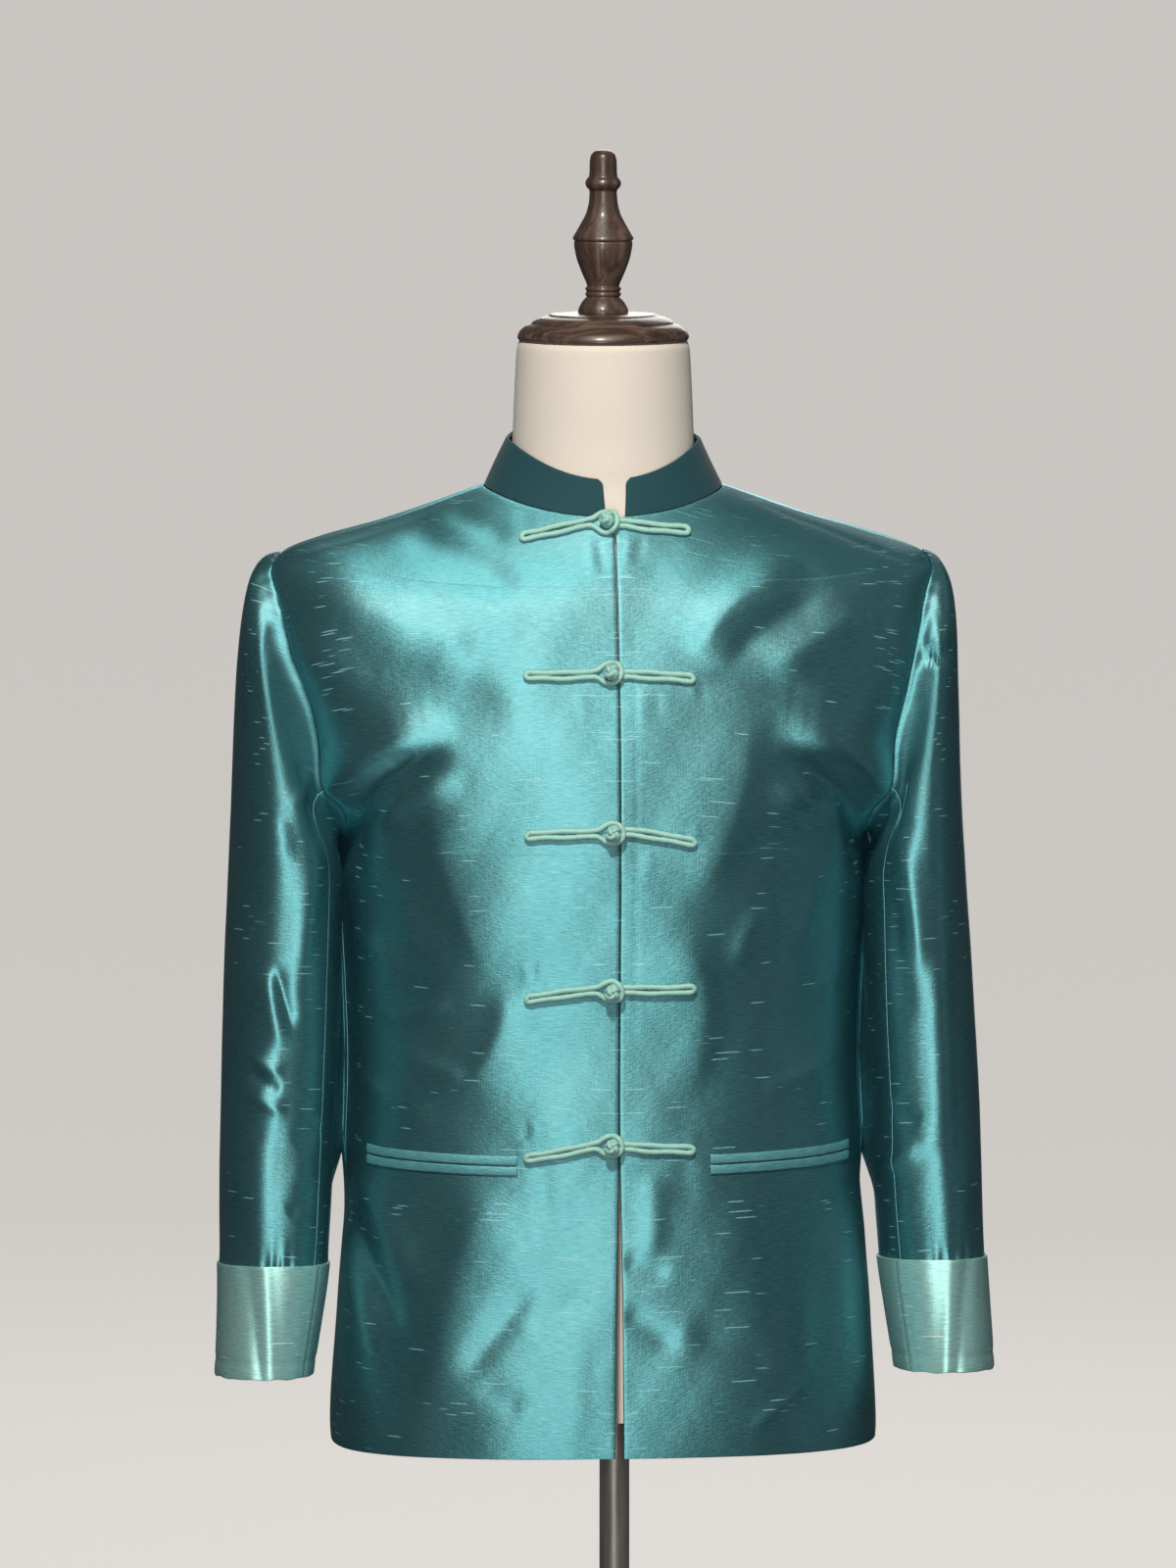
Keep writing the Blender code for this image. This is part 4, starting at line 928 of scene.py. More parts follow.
def dupioni(name, colour, metal, rough, slub_share, along=1.0):
    """Silk with an uneven weft: fine threads across, rare thick ones, and a faint warp. The thick ones are real
    slubs in the bump, roughness and metal, and their lighter, greyer colour is partly a painted highlight where
    they catch light. Its gloss spreads up and down across the threads (along), and stays narrow sideways. Each
    thread has a number, which shifts the noise that its thick places come from."""
    f = Finish(name, Metallic=metal, Specular_IOR_Level=0.5, Anisotropic=along, Anisotropic_Rotation=0.25,
               Coat_Weight=0.18, Coat_IOR=2.0, Coat_Roughness=0.45)
    cloth = f.cloth(-2.0)
    weft = f.noise(cloth, (110, 1500, 1), 3.0, 0.6)
    grain = f.noise(f.cloth(-14.0), (200, 850, 1), 2.0, 0.55)
    warp = f.noise(cloth, (1900, 45, 1), 1.0)
    thread = (f.part(cloth, "Y") * THREADS_PER_METRE).whole()
    chance = f.node("ShaderNodeTexWhiteNoise", {"noise_dimensions": "1D"}, W=thread)
    run = f.node("ShaderNodeCombineXYZ", {}, f.part(cloth, "X") * 27 + chance * 90, chance * 40, 0.0)
    slub_and_glint = f.noise(run, 1.0, 1.0).between(0.735 - 0.06 * slub_share, 0.80 - 0.06 * slub_share)
    cloud = f.noise(cloth, 11.0, 3.0, 0.55)
    tone = f.blend(weft.between(0.30, 0.72), shade(colour, 0.74), shade(colour, 1.20))
    tone = f.blend(cloud.between(0.35, 0.70) * 0.35, tone, shade(colour, 1.25, 0.15))
    # The thick threads' lighter, greyer colour: real slubs, and partly a painted highlight where they catch
    # light
    tone = f.blend(slub_and_glint * 0.8, tone, shade(colour, 1.9, 0.30))
    f.put(slub_and_glint * -0.45 * metal + metal, f.shader.inputs["Metallic"])
    return f.done(tone, rough + weft * 0.08 + slub_and_glint * 0.10 + grain * 0.05,
                  weft * 0.5 + grain * 1.1 + warp * 0.22 + slub_and_glint * 0.3, 0.55, 0.00042)


def collar_cloth():
    """A matte twill: fine diagonal ribs with a soft grain."""
    f = Finish("collar twill", Metallic=0.0, Specular_IOR_Level=0.35, Sheen_Weight=0.10, Sheen_Roughness=0.5)
    colour, cloth = colour_of("collar"), f.cloth()
    u, v = f.part(cloth, "X"), f.part(cloth, "Y")
    rib, cross = (u + v).wave(0.0013), (u - v * 0.6).wave(0.0009)
    fuzz = f.noise(cloth, (900, 900, 1))
    tone = f.blend(rib * 0.5 + fuzz * 0.4, shade(colour, 0.72), shade(colour, 1.30))
    return f.done(tone, 0.62 + fuzz * 0.2, rib * 0.6 + cross * 0.25 + fuzz * 0.5, 0.5, 0.00025)


def cord_cloth():
    """The frogs' cord: a narrow bias tube with a slanting weave and small cross creases, darkened by painted
    shade in the creases.
    """
    f = Finish("frog cord", Metallic=0.12, Specular_IOR_Level=0.5, Sheen_Weight=0.2, Sheen_Roughness=0.4)
    colour, cloth = colour_of("cord"), f.cloth()
    weave = (f.part(cloth, "X") + f.part(cloth, "Y")).wave(0.0011)
    crease = f.noise(cloth, (420, 160, 1), 2.0, 0.6)
    fuzz = f.noise(f.place(), 1600.0)
    tone = f.blend(weave * 0.3 + fuzz * 0.5, shade(colour, 0.80), shade(colour, 1.12))
    # Darker where the crease noise is high: painted shade in the creases, over their real bump
    tone = f.blend(crease.between(0.50, 0.75) * 0.35, tone, shade(colour, 0.66))
    return f.done(tone, 0.48 + fuzz * 0.2, weave * 0.35 + crease * 1.2 + fuzz * 0.3, 0.6, 0.0004)


def linen():
    """The dress form's cover: plain weave from two crossing sets of uneven threads."""
    f = Finish("form linen", Metallic=0.0, Specular_IOR_Level=0.25, Sheen_Weight=0.15, Sheen_Roughness=0.6)
    colour, cloth = colour_of("linen"), f.cloth()
    bend = f.noise(cloth, 40.0) * 0.0016
    weft, warp = ((f.part(cloth, axis) + bend).wave(0.0010) for axis in "YX")
    thread = f.noise(cloth, (90, 1100, 1))
    dirt = f.noise(cloth, 7.0, 3.0)
    tone = f.blend(weft * warp * 0.5 + thread * 0.4, shade(colour, 0.90), shade(colour, 1.08))
    tone = f.blend(dirt.between(0.45, 0.8) * 0.25, tone, shade(colour, 0.86, 0.1))
    return f.done(tone, 0.80 + thread * 0.12, weft * 0.5 + warp * 0.5 + thread * 0.5, 0.35, 0.0002)


def walnut(name, along):
    """Dark turned wood: long pale and dark streaks along the grain, fine pores, and a semi-gloss lacquer."""
    f = Finish(name, Metallic=0.0, Specular_IOR_Level=0.5, Coat_Weight=0.35, Coat_Roughness=0.16)
    colour, place = colour_of("wood"), f.place()
    streaks, pores = {"X": ((7, 120, 160), (40, 900, 900)), "Z": ((110, 110, 6), (900, 900, 36))}[along]
    streak, pore = f.noise(place, streaks, 4.0, 0.62, 0.6), f.noise(place, pores)
    patch = f.noise(place, 22.0)
    stops = ((0.30, shade(colour, 0.35)), (0.48, shade(colour, 0.9)), (0.60, shade(colour, 1.9)),
             (0.74, shade(colour, 3.4, 0.1)))
    tone = f.node("ShaderNodeValToRGB", {"stops": stops}, streak)
    tone = f.blend(pore.between(0.56, 0.70) * 0.55, tone, shade(colour, 0.3))
    tone = f.blend(patch.between(0.5, 0.8) * 0.3, tone, shade(colour, 2.2, 0.15))
    return f.done(tone, 0.30 + pore * 0.16 + streak * 0.08, pore * 0.6 + streak * 0.6, 0.35, 0.0003)


def brushed_steel():
    """The pole's steel: fine scratches round it and faint smears along it."""
    f = Finish("pole steel", Metallic=0.65)
    colour, place = colour_of("steel"), f.place()
    scratch, smear = f.noise(place, (60, 60, 2600)), f.noise(place, (160, 160, 12))
    tone = f.blend(smear.between(0.35, 0.7), shade(colour, 0.72), shade(colour, 1.12))
    return f.done(tone, 0.30 + scratch * 0.14 + smear * 0.06, scratch, 0.18, 0.0001)


def coated_base():
    """The base's powder coating: a fine orange peel with a few dull marks."""
    f = Finish("base coating", Metallic=0.2, Specular_IOR_Level=0.5)
    colour, place = colour_of("base"), f.place()
    peel, mark = f.noise(place, 900.0), f.noise(place, 16.0, 3.0)
    tone = f.blend(mark.between(0.4, 0.75), colour, shade(colour, 1.7))
    return f.done(tone, 0.42 + mark * 0.2, peel, 0.3, 0.0002)


def studio_paper():
    """The backdrop's paper, which glows a little so that no shadow or fall of light shows on it."""
    f = Finish("studio paper", Metallic=0.0, Specular_IOR_Level=0.2, Emission_Color=(0.72, 0.69, 0.66, 1.0),
               Emission_Strength=0.78)
    grain = f.noise(f.place(), 60.0, 3.0)
    return f.done(f.blend(grain, (0.34, 0.33, 0.32), (0.36, 0.35, 0.34)), 0.9 + grain * 0.05)


def silk():
    """The jacket's silk, which its pieces share."""
    found = bpy.data.materials.get("jacket silk")
    return found or dupioni("jacket silk", colour_of("silk"), 0.90, 0.66, sizes().slub_share)


# Cutting the pieces from the surfaces

SIDES = (("left", 1), ("right", -1))
# How many points each grid has across or round, and for some along
STEPS = {"front": 111, "back": 131, "sleeve_top": 120, "sleeve_under": 56, "sleeve_down": 135,
         "cuff": (150, 42), "collar": (222, 24), "welt": (130, 9), "form": (121, 100), "form_neck": 34}


def body_rows():
    """Row numbers up the body: even steps of height below and above the armhole, cosine steps beside it."""
    dense = np.linspace(0, ARMPIT_ROW, 400)
    height = smooth_rows(BODY_ROWS, dense)[:, FRONT_Z]
    below = np.interp(np.linspace(height[0], height[-1], 165), height, dense)[:-1]
    share = (1 - np.cos(np.linspace(0, math.pi, 97))) / 2
    beside = ARMPIT_ROW + (SHOULDER_ROW - ARMPIT_ROW) * share
    above = np.linspace(SHOULDER_ROW, NECK_ROW, 25)[1:]
    rows = np.concatenate([below, beside, above])
    rows[0], rows[-1] = 0.0085, NECK_ROW - 0.011
    return rows


def side_angles(rows, face):
    """Where the front or back panel ends on the wearer's left: side seam, armhole, then shoulder seam."""
    share = np.clip((rows - ARMPIT_ROW) / (SHOULDER_ROW - ARMPIT_ROW), 0, 1)
    turn = np.arccos(np.clip(2 * share - 1, -1, 1)) / (2 * math.pi)
    angle, _ = armhole_place(turn if face == "front" else 1 - turn)
    return angle


def held_back(angle, rows, distance, way):
    """Angles moved by a distance in metres along the ring, way +1 or -1."""
    pace = np.linalg.norm(plain_body(angle + 0.01, rows) - plain_body(angle - 0.01, rows), axis=-1) / 0.02
    return angle + way * distance / pace


def cloth_piece(name, surface, plain, a, b, thick, lift, finish, nodes, origin=0, closed=False,
                level=0, axis=(0.0, 0.0)):
    """A sheet of cloth on surface(a, b), lifted off it. The UVs are lengths on the plain surface."""
    point = surface(a, b)
    outward = surface_normal(plain, a, b)
    outward = outward * (1.0 if np.sum(outward * (point - point.mean((0, 1)))) > 0 else -1.0)
    normal = grid_normals(point, outward, closed)
    flat = plain(a, b)
    if closed:
        flat = np.concatenate([flat, flat[:, :1]], 1)
    u, v = lengths(flat, origin, level)
    width = float(np.mean(u[:, -1])) if closed else False
    if closed:
        u, v = u[:, :-1], v[:, :-1]
    shape = shell(point + normal * lift, normal, thick, (u, v), width)
    piece = made(name, shape, finish, nodes, axis=axis)
    return piece


def flipped(surface, side):
    """The surface on the wearer's left, or its mirror image on the right."""
    return lambda a, b: surface(a, b) * np.array([side, 1.0, 1.0])


class JACKET_OT_body(bpy.types.Operator):
    """The two fronts and the back, cut from the body's surface along the side, shoulder and armhole seams"""

    bl_idname = "jacket.body"
    bl_label = "Fronts and back"

    def execute(self, context):
        thick = sizes().silk_thick
        inset = SEAM / 2 + thick / 2
        rows = body_rows()
        section = smooth_rows(BODY_ROWS, rows)
        gap = np.interp(section[:, FRONT_Z], EDGE_GAP_Z, EDGE_GAP_HALF) * MM
        share = np.linspace(0, 1, STEPS["front"])[None, :]
        for name, side in SIDES:
            edge = angle_at(section, gap + thick / 2 + side * CENTRE_X)
            end = held_back(side_angles(rows, "front"), rows, inset, -1)
            angles = (edge[:, None] + (end - edge)[:, None] * share) * side
            grid = np.broadcast_to(rows[:, None], angles.shape)
            cloth_piece(f"front_{name}_cloth", body, plain_body, angles, grid, thick, 0.0, silk(),
                        [f"front_{name}"], axis=(0.0, THREAD_AXIS))
        low = held_back(side_angles(rows, "back"), rows, inset, 1)
        share = np.linspace(0, 1, STEPS["back"])[None, :]
        angles = low[:, None] + (2 * math.pi - 2 * low)[:, None] * share
        grid = np.broadcast_to(rows[:, None], angles.shape)
        cloth_piece("back_cloth", body, plain_body, angles, grid, thick, 0.0, silk(), ["back_panel"],
                    origin=80, axis=(0.0, -THREAD_AXIS))
        return {"FINISHED"}


class JACKET_OT_sleeves(bpy.types.Operator):
    """Both sleeves, each a top and an under piece that meet at two seams down the arm"""

    bl_idname = "jacket.sleeves"
    bl_label = "Sleeves"

    def execute(self, context):
        thick = sizes().silk_thick
        first, last = SLEEVE_SEAMS
        head = -0.998 + 0.998 * np.linspace(0, 1, 60)[:-1] ** 1.15
        ways = np.concatenate([head, np.linspace(0, WRIST_ROW + CUFF_TUCK, STEPS["sleeve_down"])])
        for name, side in SIDES:
            surface, plain = flipped(sleeve(side), side), flipped(plain_sleeve(side), side)
            for part, low, high in (("top", first, last), ("under", last, first + 1)):
                pace = [np.linalg.norm(plain(end + 2e-3, ways) - plain(end - 2e-3, ways), axis=-1) / 4e-3
                        for end in (low, high)]
                trim = [(SEAM + thick) / 2 / p for p in pace]
                share = np.linspace(0, 1, STEPS[f"sleeve_{part}"])[None, :]
                a = (low + trim[0])[:, None] + (high - low - trim[0] - trim[1])[:, None] * share
                b = np.broadcast_to(ways[:, None], a.shape)
                cloth_piece(f"sleeve_{name}_{part}_cloth", surface, plain, a, b, thick, 0.0, silk(),
                            [f"sleeve_{name}_{part}"], level=-1,
                            axis=(side * SLEEVE_AXIS, 0.0))
        return {"FINISHED"}


class JACKET_OT_cuffs(bpy.types.Operator):
    """The cuffs, tubes just outside the sleeves' ends with a seam down the inner front"""

    bl_idname = "jacket.cuffs"
    bl_label = "Cuffs"

    def execute(self, context):
        thick = sizes().cuff_thick
        finish = dupioni("cuff silk", colour_of("cuff"), 0.62, 0.56, sizes().slub_share * 0.8, 0.85)
        around, up = STEPS["cuff"]
        turns, share = np.arange(around) / around, np.linspace(0, 1, up)
        for name, side in SIDES:
            base = sleeve(side, False)
            plain = flipped(plain_sleeve(side), side)

            def shape(turn, way, base=base, side=side):
                """The sleeve's surface with a lapped seam, a wavy edge, a fold and a dent down the cuff, and a
                line of stitches above its end."""
                point = base(turn, way)
                out = surface_normal(plain_sleeve(side), turn, way)
                seam = (turn - SLEEVE_SEAMS[1]) * CUFF_GIRTH
                lift = 0.7 * MM * np.exp(-((seam / (1.6 * MM)) ** 2))
                lift -= 0.7 * MM * np.exp(-(((seam - 3.2 * MM) / (1.5 * MM)) ** 2))
                low = np.clip((way - SLEEVE_END + 0.35) / 0.35, 0, 1)
                wave = np.sin(2 * math.pi * turn * 13 + side) * np.sin(2 * math.pi * turn * 3)
                lift += 0.35 * MM * wave * low**2
                lift += 1.4 * MM * np.exp(-(((turn - 0.215 - 0.05 * (way - WRIST_ROW)) / 0.020) ** 2))
                lift -= 1.5 * MM * np.exp(-(((turn - 0.165 - 0.07 * (way - WRIST_ROW)) / 0.022) ** 2))
                lift -= 0.5 * MM * np.exp(-(((way - SLEEVE_END + 0.14) / 0.035) ** 2))
                return (point + out * lift[..., None]) * np.array([side, 1.0, 1.0])

            wave = 0.006 * np.sin(2 * math.pi * turns * 12 + side) * np.sin(2 * math.pi * turns * 2 + 1)
            ways = WRIST_ROW + 0.012 + share[:, None] * (SLEEVE_END - WRIST_ROW - 0.024 + wave[None, :])
            a = np.broadcast_to(turns[None, :], ways.shape)
            cloth_piece(f"cuff_{name}_cloth", shape, plain, a, ways, thick, thick + LAID_ON, finish,
                        [f"cuff_{name}"], closed=True,
                        axis=(side * CUFF_AXIS, -14 * MM))
        return {"FINISHED"}


class JACKET_OT_collar(bpy.types.Operator):
    """The standing collar, with its two ends a little apart in front and their upper corners rounded"""

    bl_idname = "jacket.collar"
    bl_label = "Collar"

    def execute(self, context):
        thick = sizes().collar_thick
        around, up = STEPS["collar"]
        heights = np.linspace(0.03, 0.97, up)
        gap = COLLAR_GAP_LOW + (COLLAR_GAP_HIGH - COLLAR_GAP_LOW) * heights + thick / 2 - 0.4 * MM
        gap = gap + 5 * MM * (1 - np.sqrt(1 - np.clip((heights - 0.80) / 0.20, 0, 0.97) ** 2))
        radius = -collar(np.zeros(len(heights)), heights)[:, 1]
        low, high = (CENTRE_X + gap) / radius, 2 * math.pi + (CENTRE_X - gap) / radius
        share = np.linspace(0, 1, around)[None, :]
        angles = low[:, None] + (high - low)[:, None] * share
        grid = np.broadcast_to(heights[:, None], angles.shape)
        cloth_piece("collar_cloth", collar, collar, angles, grid, thick, 0.0, collar_cloth(), ["stand_collar"])
        return {"FINISHED"}


def on_front(x, z):
    """The body's angle and row behind points (x, z), by Newton's steps from the plain surface."""
    x, z = np.asarray(x, float), np.asarray(z, float)
    dense = np.linspace(0, NECK_ROW, 200)
    row = np.interp(z / MM, smooth_rows(BODY_ROWS, dense)[:, FRONT_Z], dense)
    angle = angle_at(smooth_rows(BODY_ROWS, row), x)
    h = 1e-3
    for _ in range(6):
        point = body(angle, row)
        da, dr = (body(angle + h, row) - point) / h, (body(angle, row - h) - point) / -h
        ex, ez = x - point[..., 0], z - point[..., 2]
        det = da[..., 0] * dr[..., 2] - dr[..., 0] * da[..., 2]
        angle = angle + np.clip((ex * dr[..., 2] - dr[..., 0] * ez) / det, -0.1, 0.1)
        row = np.clip(row + np.clip((da[..., 0] * ez - ex * da[..., 2]) / det, -0.5, 0.5), 0, NECK_ROW - 0.002)
    return angle, row


def on_cloth(x, z, lift):
    """Points lifted off the front at (x, z), and the normals there."""
    angle, row = on_front(x, z)
    point = body(angle, row)
    normal = surface_normal(body, angle, row, 8e-3)
    normal = normal * np.where(normal[..., 1:2] > 0, -1.0, 1.0)
    point = np.stack([x + 0 * point[..., 0], point[..., 1], z + 0 * point[..., 2]], -1)
    return point + normal * np.asarray(lift, float)[..., None], normal


class JACKET_OT_pockets(bpy.types.Operator):
    """The four pocket welts, laid on the fronts on both sides of the pockets' mouths"""

    bl_idname = "jacket.pockets"
    bl_label = "Pockets"

    def execute(self, context):
        r = WELT_CLOTH / 2
        columns, rows = STEPS["welt"]
        finish = dupioni("welt silk", colour_of("silk"), 0.60, 0.50, 0.3, 0.0)
        for name, side in SIDES:
            across = np.linspace(POCKET_INNER_X + r, POCKET_OUTER_X - r, columns)
            ends = np.minimum(across - across[0], across[-1] - across) / (across[-1] - across[0])
            slack = 0.5 * MM * np.sin(math.pi * np.clip(ends * 2, 0, 1) / 2)
            for part, low in (("upper", POCKET_MOUTH / 2), ("lower", -POCKET_MOUTH / 2 - WELT_WIDTH)):
                up = np.linspace(low + r, low + WELT_WIDTH - r, rows)
                x, z = np.meshgrid(across * side, POCKET_Z + up)
                bulge = 0.25 * MM * np.sin(math.pi * (z - z.min()) / (z.max() - z.min()))
                mouth = slack[None, :] * (z - z.min() if part == "lower" else z.max() - z) / np.ptp(z)
                point, normal = on_cloth(x, z, LAID_ON + WELT_CLOTH + bulge + mouth * 0.8)
                shape = shell(point, grid_normals(point, normal), WELT_CLOTH, lengths(point))
                made(f"welt_{name}_{part}_cloth", shape, finish, [f"welt_{name}_{part}"])
        return {"FINISHED"}


def hairpin(near_r, far, steps=46):
    """Points (along, across, rise) of a doubled cord: an open bend of radius near_r, which narrows to two
    strands side by side, and a tight bend at its far end. rise is 1 where the near bend is furthest out."""
    half = STRAND_APART / 2
    a = np.linspace(-2.05, 2.05, 31)
    near = np.stack([-near_r * np.cos(a), near_r * np.sin(a), smoothstep((1.5 - np.abs(a)) / 0.7)], -1)
    start, top = near[-1, 0], near[-1, 1]
    f = np.linspace(0, 1, steps + 1)[1:]
    along = start + (far - half - start) * f
    across = half + (top - half) * (1 - smoothstep((along - start) / (7 * MM)))
    across = across + 0.22 * MM * np.sin(along / (4.2 * MM) + near_r * 900)
    reach = np.stack([along, across, 0 * f], -1)
    b = np.linspace(0, math.pi, 12)[1:-1]
    bend = np.stack([far - half + half * np.sin(b), half * np.cos(b), 0 * b], -1)
    back = reach[::-1] * np.array([1, -1, 1]) + np.array([0, 0.15 * MM, 0]) * np.sin(reach[::-1, :1] / (6 * MM))
    return np.concatenate([near, reach, bend, back])


def frog_cord(number, side):
    """A doubled cord from the knot out along one front. On the wearer's right it loops round the knot and
    over the other half's strands, and on the left it starts below the knot."""
    z, right_drop, left_drop = FROG_ROWS[number]
    radius = sizes().cord_radius
    looped = side < 0
    drop = (right_drop if looped else left_drop) * MM
    line = hairpin(LOOP_R if looped else STRAND_APART / 2, FROG_REACH[side])
    along, across, rise = line.T
    height = z * MM + across - drop * np.maximum(along - STRAIGHT, 0) / (FROG_REACH[side] - STRAIGHT)
    height = height + 0.5 * MM * np.sin(along / (13 * MM) + number * 1.7 + side)
    lift = radius + CORD_CLEAR + (2 * radius + SEAM) * rise * looped
    point, normal = on_cloth(FROG_X + along * side, height, lift)
    smooth = point.copy()
    for _ in range(3):
        smooth = (np.roll(smooth, 1, 0) + 2 * smooth + np.roll(smooth, -1, 0)) / 4
    thin = radius * (1 + 0.05 * np.sin(np.arange(len(point)) * 0.9 + number))
    return tube(smooth, normal, thin, 14)


def frog_knot(number):
    """The knot: a cord woven round a ball. Its longitude runs three times round, its latitude swings four
    times in three turns, and it goes over and under by twice that."""
    centre, normal = on_cloth(np.array([FROG_X]), np.array([FROG_ROWS[number][0] * MM]),
                              np.array([CORD_CLEAR + KNOT_LIFT]))
    centre, pole = centre[0], normal[0]
    side = unit(np.cross(pole, [0.0, 0.0, 1.0]))
    up = np.cross(side, pole)
    t = np.linspace(0, 6 * math.pi, 241)[:-1] + number
    latitude = 1.12 * np.cos(4 * t / 3)
    reach = KNOT_R + KNOT_WEAVE * np.sin(8 * t / 3)
    out = (np.cos(latitude) * np.cos(t))[:, None] * side + (np.cos(latitude) * np.sin(t))[:, None] * up
    out = out + np.sin(latitude)[:, None] * pole
    weave = tube(centre + out * reach[:, None], out, KNOT_CORD, 10)
    polar = np.linspace(0, math.pi, 14)[1:-1]
    turn = 2 * math.pi * np.arange(20) / 20
    ring = np.cos(polar)[:, None, None] * pole + np.sin(polar)[:, None, None] * (
        np.cos(turn)[None, :, None] * side + np.sin(turn)[None, :, None] * up)
    return weave, centre + ring * KNOT_HEART


class JACKET_OT_frogs(bpy.types.Operator):
    """The five frogs: on each a looped cord on the wearer's right, and a knot with its cord on the left"""

    bl_idname = "jacket.frogs"
    bl_label = "Frogs"

    def execute(self, context):
        finish = cord_cloth()
        for number in FROG_ROWS:
            weave, ball = frog_knot(number)
            for name, shape, node in (
                ("loop_{}_cord", frog_cord(number, -1), "frog_loop_{}"),
                ("knot_{}_cord", joined([frog_cord(number, 1), weave]), "frog_knot_{}"),
                ("heart_{}", capped(ball), "frog_knot_{}"),
            ):
                made("frog_" + name.format(number), shape, finish, [node.format(number)],
                     flat_shade=None)
        return {"FINISHED"}


class JACKET_OT_dress_form(bpy.types.Operator):
    """The dress form: the body's surface drawn in by the cloth and its ease, and then a round neck"""

    bl_idname = "jacket.dress_form"
    bl_label = "Dress form"

    def execute(self, context):
        around, up = STEPS["form"]
        dense = np.linspace(0, 2, 90)
        low = np.interp(FORM_FOOT_Z / MM, smooth_rows(BODY_ROWS, dense)[:, SIDE_Z], dense)
        rows = np.linspace(low, NECK_ROW, up)
        angles = np.linspace(0, 2 * math.pi, around)[:-1]
        a, r = np.meshgrid(angles, rows)
        ease = np.maximum(smooth_rows(BODY_ROWS, r)[..., EASE:], FORM_ROOM + FORM_CLEAR) * MM
        points = plain_body(a, r) - surface_normal(plain_body, a, r) * (FORM_CLOTH + ease)
        points[0, :, 2] = FORM_FOOT_Z
        table = {i: (z, half, z, front, z, back, 2.0, 0) for i, (z, half, front, back) in enumerate(NECK_ROWS)}
        b, k = np.meshgrid(angles, np.linspace(0, len(table) - 1, STEPS["form_neck"]))
        rings = np.concatenate([points, ring_point(smooth_rows(table, k), b)])
        shape, faces, _ = capped(rings)
        u, v = lengths(np.concatenate([rings, rings[:, :1]], 1))
        thing = made("form_cover", (shape, faces, None), linen(), ["form_torso"])
        layer = thing.data.uv_layers.new(name="cloth")
        columns = len(angles)
        corner, begin, total = (np.zeros(len(held), np.int32) for held in (
            thing.data.loops, thing.data.polygons, thing.data.polygons))
        thing.data.loops.foreach_get("vertex_index", corner)
        thing.data.polygons.foreach_get("loop_start", begin)
        thing.data.polygons.foreach_get("loop_total", total)
        start = np.repeat(begin, total)
        first = corner[start]
        row, column = np.minimum(corner // columns, len(rings) - 1), corner % columns
        wrap = (column == 0) & (first % columns == columns - 1)
        uv = np.stack([u[row, np.where(wrap, columns, column)], v[row, column]], -1)
        layer.data.foreach_set("uv", np.ascontiguousarray(uv, np.float32).ravel())
        return {"FINISHED"}


class JACKET_OT_turned_wood(bpy.types.Operator):
    """The neck cap and the finial, turned from dark wood"""

    bl_idname = "jacket.turned_wood"
    bl_label = "Turned wood"

    def execute(self, context):
        cap, finial = turned(CAP_PROFILE, CAP_Z, 128), turned(FINIAL_PROFILE, FINIAL_Z)
        made("neck_cap_wood", cap, walnut("cap walnut", "X"), ["neck_cap"])
        made("neck_finial_wood", finial, walnut("finial walnut", "Z"), ["neck_finial"])
        return {"FINISHED"}


class JACKET_OT_stand(bpy.types.Operator):
    """The stand's steel pole and its round base"""

    bl_idname = "jacket.stand"
    bl_label = "Stand"

    def execute(self, context):
        base = turned((
            (BASE_R - 1, 0), (BASE_R, 1), (BASE_R, BASE_THICK - BASE_EDGE), (BASE_R - BASE_EDGE, BASE_THICK),
            (BOSS_R + 2, BASE_THICK), (BOSS_R, BASE_THICK + 2), (BOSS_R, BOSS_TALL - 2),
            (BOSS_R - 2, BOSS_TALL), (POLE_R, BOSS_TALL),
        ), 0.0, 160)
        made("stand_base_plate", base, coated_base(), ["stand_base"], 0.0, 40)
        tall = (FORM_FOOT_Z - 2 * SEAM) / MM - BOSS_TALL
        pole = ((POLE_R - 0.6, 0), (POLE_R, 0.6), (POLE_R, tall - 0.6), (POLE_R - 0.6, tall))
        pole = turned(pole, BOSS_TALL * MM + SEAM, 64)
        made("stand_pole_tube", pole, brushed_steel(), ["stand_pole"], 0.0)
        return {"FINISHED"}


def looking(name, data, aim, azimuth, elevation, distance):
    """A light or camera that looks at aim. azimuth 0 is in front, and grows towards the wearer's left."""
    a, e = math.radians(azimuth), math.radians(elevation)
    back = Vector((math.sin(a) * math.cos(e), -math.cos(a) * math.cos(e), math.sin(e)))
    thing = bpy.data.objects.new(name, data)
    thing.location = Vector(aim) + back * distance
    thing.rotation_euler = back.to_track_quat("Z", "Y").to_euler()
    bpy.context.scene.collection.objects.link(thing)
    return thing


# Name, azimuth and elevation in degrees, distance, width and height in metres, watts, colour
LIGHTS = (
    ("key", -8, 46, 3.8, (0.22, 0.22), 116, (1.0, 0.955, 0.835)),
    ("front", -6, 4, 3.4, (0.55, 2.2), 38, (1.0, 0.97, 0.92)),
    ("side", 74, 24, 3.2, (0.9, 1.6), 3, (0.95, 0.98, 1.0)),
    ("behind", 172, 24, 3.2, (1.2, 1.8), 20, (1.0, 0.98, 0.95)),
)
SKY = (0.85, 0.90, 0.95, 1.0)
SKY_STRENGTH = 0.07
FLOOR_R = 24
SWEEP_R = 8
WALL_Z = (10.0, 16.0)
# The camera: its aim, direction in degrees and distance, and the metres that one of the photo's pixels spans
VIEW_AIM = (-0.0185, 0.0, 0.955)
VIEW_FROM = (-3.5, 6.5)
VIEW_DISTANCE = 6.0
PIXEL = 0.00068
PIXELS_HIGH = 1600
SENSOR = 36


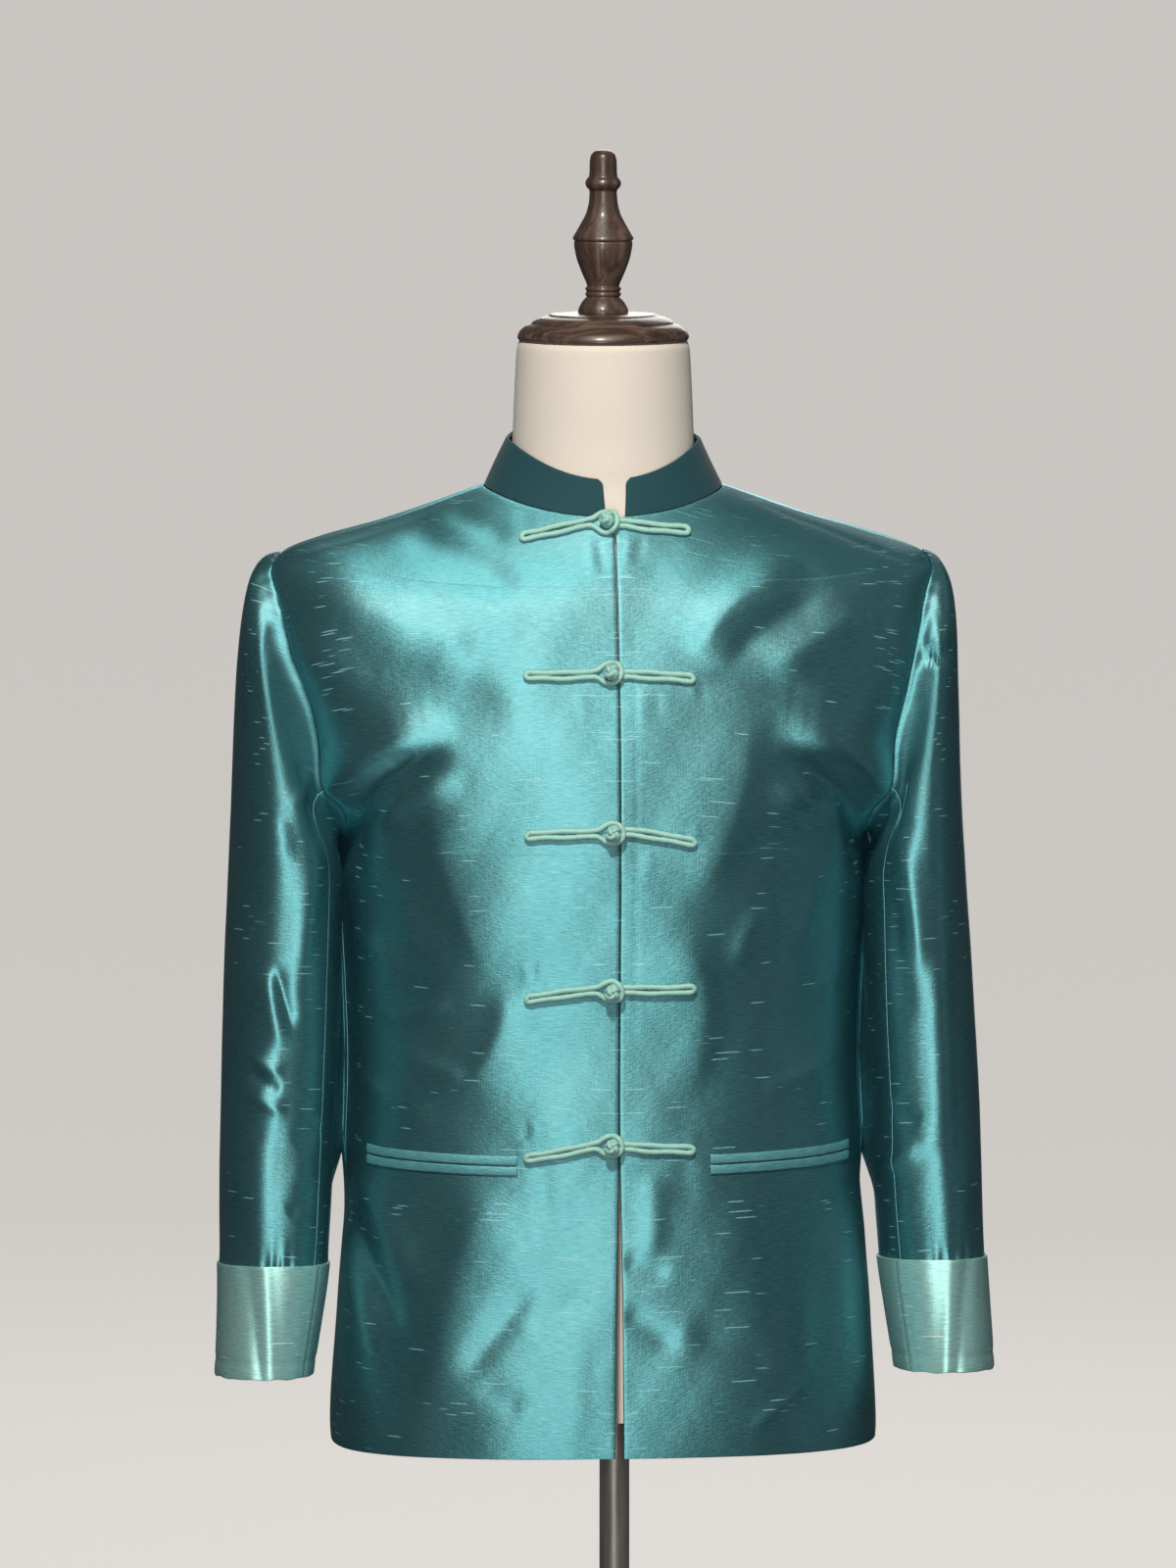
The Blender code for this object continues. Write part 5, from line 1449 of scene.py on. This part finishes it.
class JACKET_OT_studio(bpy.types.Operator):
    """The studio: a pale floor that sweeps up far away, soft lights, and the camera"""

    bl_idname = "jacket.studio"
    bl_label = "Studio"

    def execute(self, context):
        scene = context.scene
        t = np.linspace(0, math.pi / 2, 40)[1:]
        rings = lathe(np.concatenate([
            np.stack([np.geomspace(0.02, FLOOR_R, 40), np.zeros(40)], -1),
            np.stack([FLOOR_R + SWEEP_R * np.sin(t), SWEEP_R - SWEEP_R * np.cos(t)], -1),
            [(FLOOR_R + SWEEP_R, z) for z in WALL_Z],
        ]), 96)
        rows, columns = rings.shape[:2]
        faces = corners(np.arange(rows * columns).reshape(rows, columns), *cells(rows, columns, True), True)
        mesh = bpy.data.meshes.new("studio_floor")
        mesh.from_pydata(rings.reshape(-1, 3).tolist(), [], [list(range(columns)), *faces.tolist()])
        mesh.shade_smooth()
        mesh.materials.append(studio_paper())
        floor = bpy.data.objects.new("studio_floor", mesh)
        floor.visible_glossy = floor.visible_diffuse = floor.visible_shadow = False
        scene.collection.objects.link(floor)

        for name, azimuth, elevation, distance, size, power, colour in LIGHTS:
            data = bpy.data.lights.new(name, "AREA")
            data.shape = "RECTANGLE"
            data.size, data.size_y = size
            data.energy, data.color = power, colour
            looking(name, data, (0, 0, MIDDLE_Z), azimuth, elevation, distance)
        world = bpy.data.worlds.new("studio")
        world.use_nodes = True
        sky = world.node_tree.nodes["Background"]
        sky.inputs["Color"].default_value = SKY
        sky.inputs["Strength"].default_value = SKY_STRENGTH
        scene.world = world

        data = bpy.data.cameras.new("photo view")
        data.sensor_width = SENSOR
        data.lens = SENSOR * (VIEW_DISTANCE / PIXEL) / PIXELS_HIGH
        scene.camera = looking("photo view", data, VIEW_AIM, *VIEW_FROM, VIEW_DISTANCE)
        scene.view_settings.view_transform = "Standard"
        return {"FINISHED"}


PIECES = (JACKET_OT_body, JACKET_OT_sleeves, JACKET_OT_cuffs, JACKET_OT_collar, JACKET_OT_pockets,
          JACKET_OT_frogs, JACKET_OT_dress_form, JACKET_OT_turned_wood, JACKET_OT_stand, JACKET_OT_studio)


class JACKET_PT_panel(bpy.types.Panel):
    bl_label = "Mandarin collar jacket"
    bl_idname = "JACKET_PT_panel"
    bl_space_type = "VIEW_3D"
    bl_region_type = "UI"
    bl_category = "Jacket"

    def draw(self, context):
        for group in (context.scene.jacket_sizes, context.scene.jacket_colours):
            for key in group.__annotations__:
                self.layout.prop(group, key)
        for operator in PIECES:
            self.layout.operator(operator.bl_idname)


CLASSES = (JacketSizes, JacketColours, *PIECES, JACKET_PT_panel)


def register():
    """Registers the add-on's classes and puts its two property groups on the scene."""
    for cls in CLASSES:
        bpy.utils.register_class(cls)
    bpy.types.Scene.jacket_sizes = bpy.props.PointerProperty(type=JacketSizes)
    bpy.types.Scene.jacket_colours = bpy.props.PointerProperty(type=JacketColours)


def unregister():
    """Takes away what register added."""
    del bpy.types.Scene.jacket_colours
    del bpy.types.Scene.jacket_sizes
    for cls in reversed(CLASSES):
        bpy.utils.unregister_class(cls)


def main():
    """Builds all."""
    register()
    for operator in PIECES:
        group, name = operator.bl_idname.split(".")
        getattr(getattr(bpy.ops, group), name)()


if __name__ == "__main__":
    main()
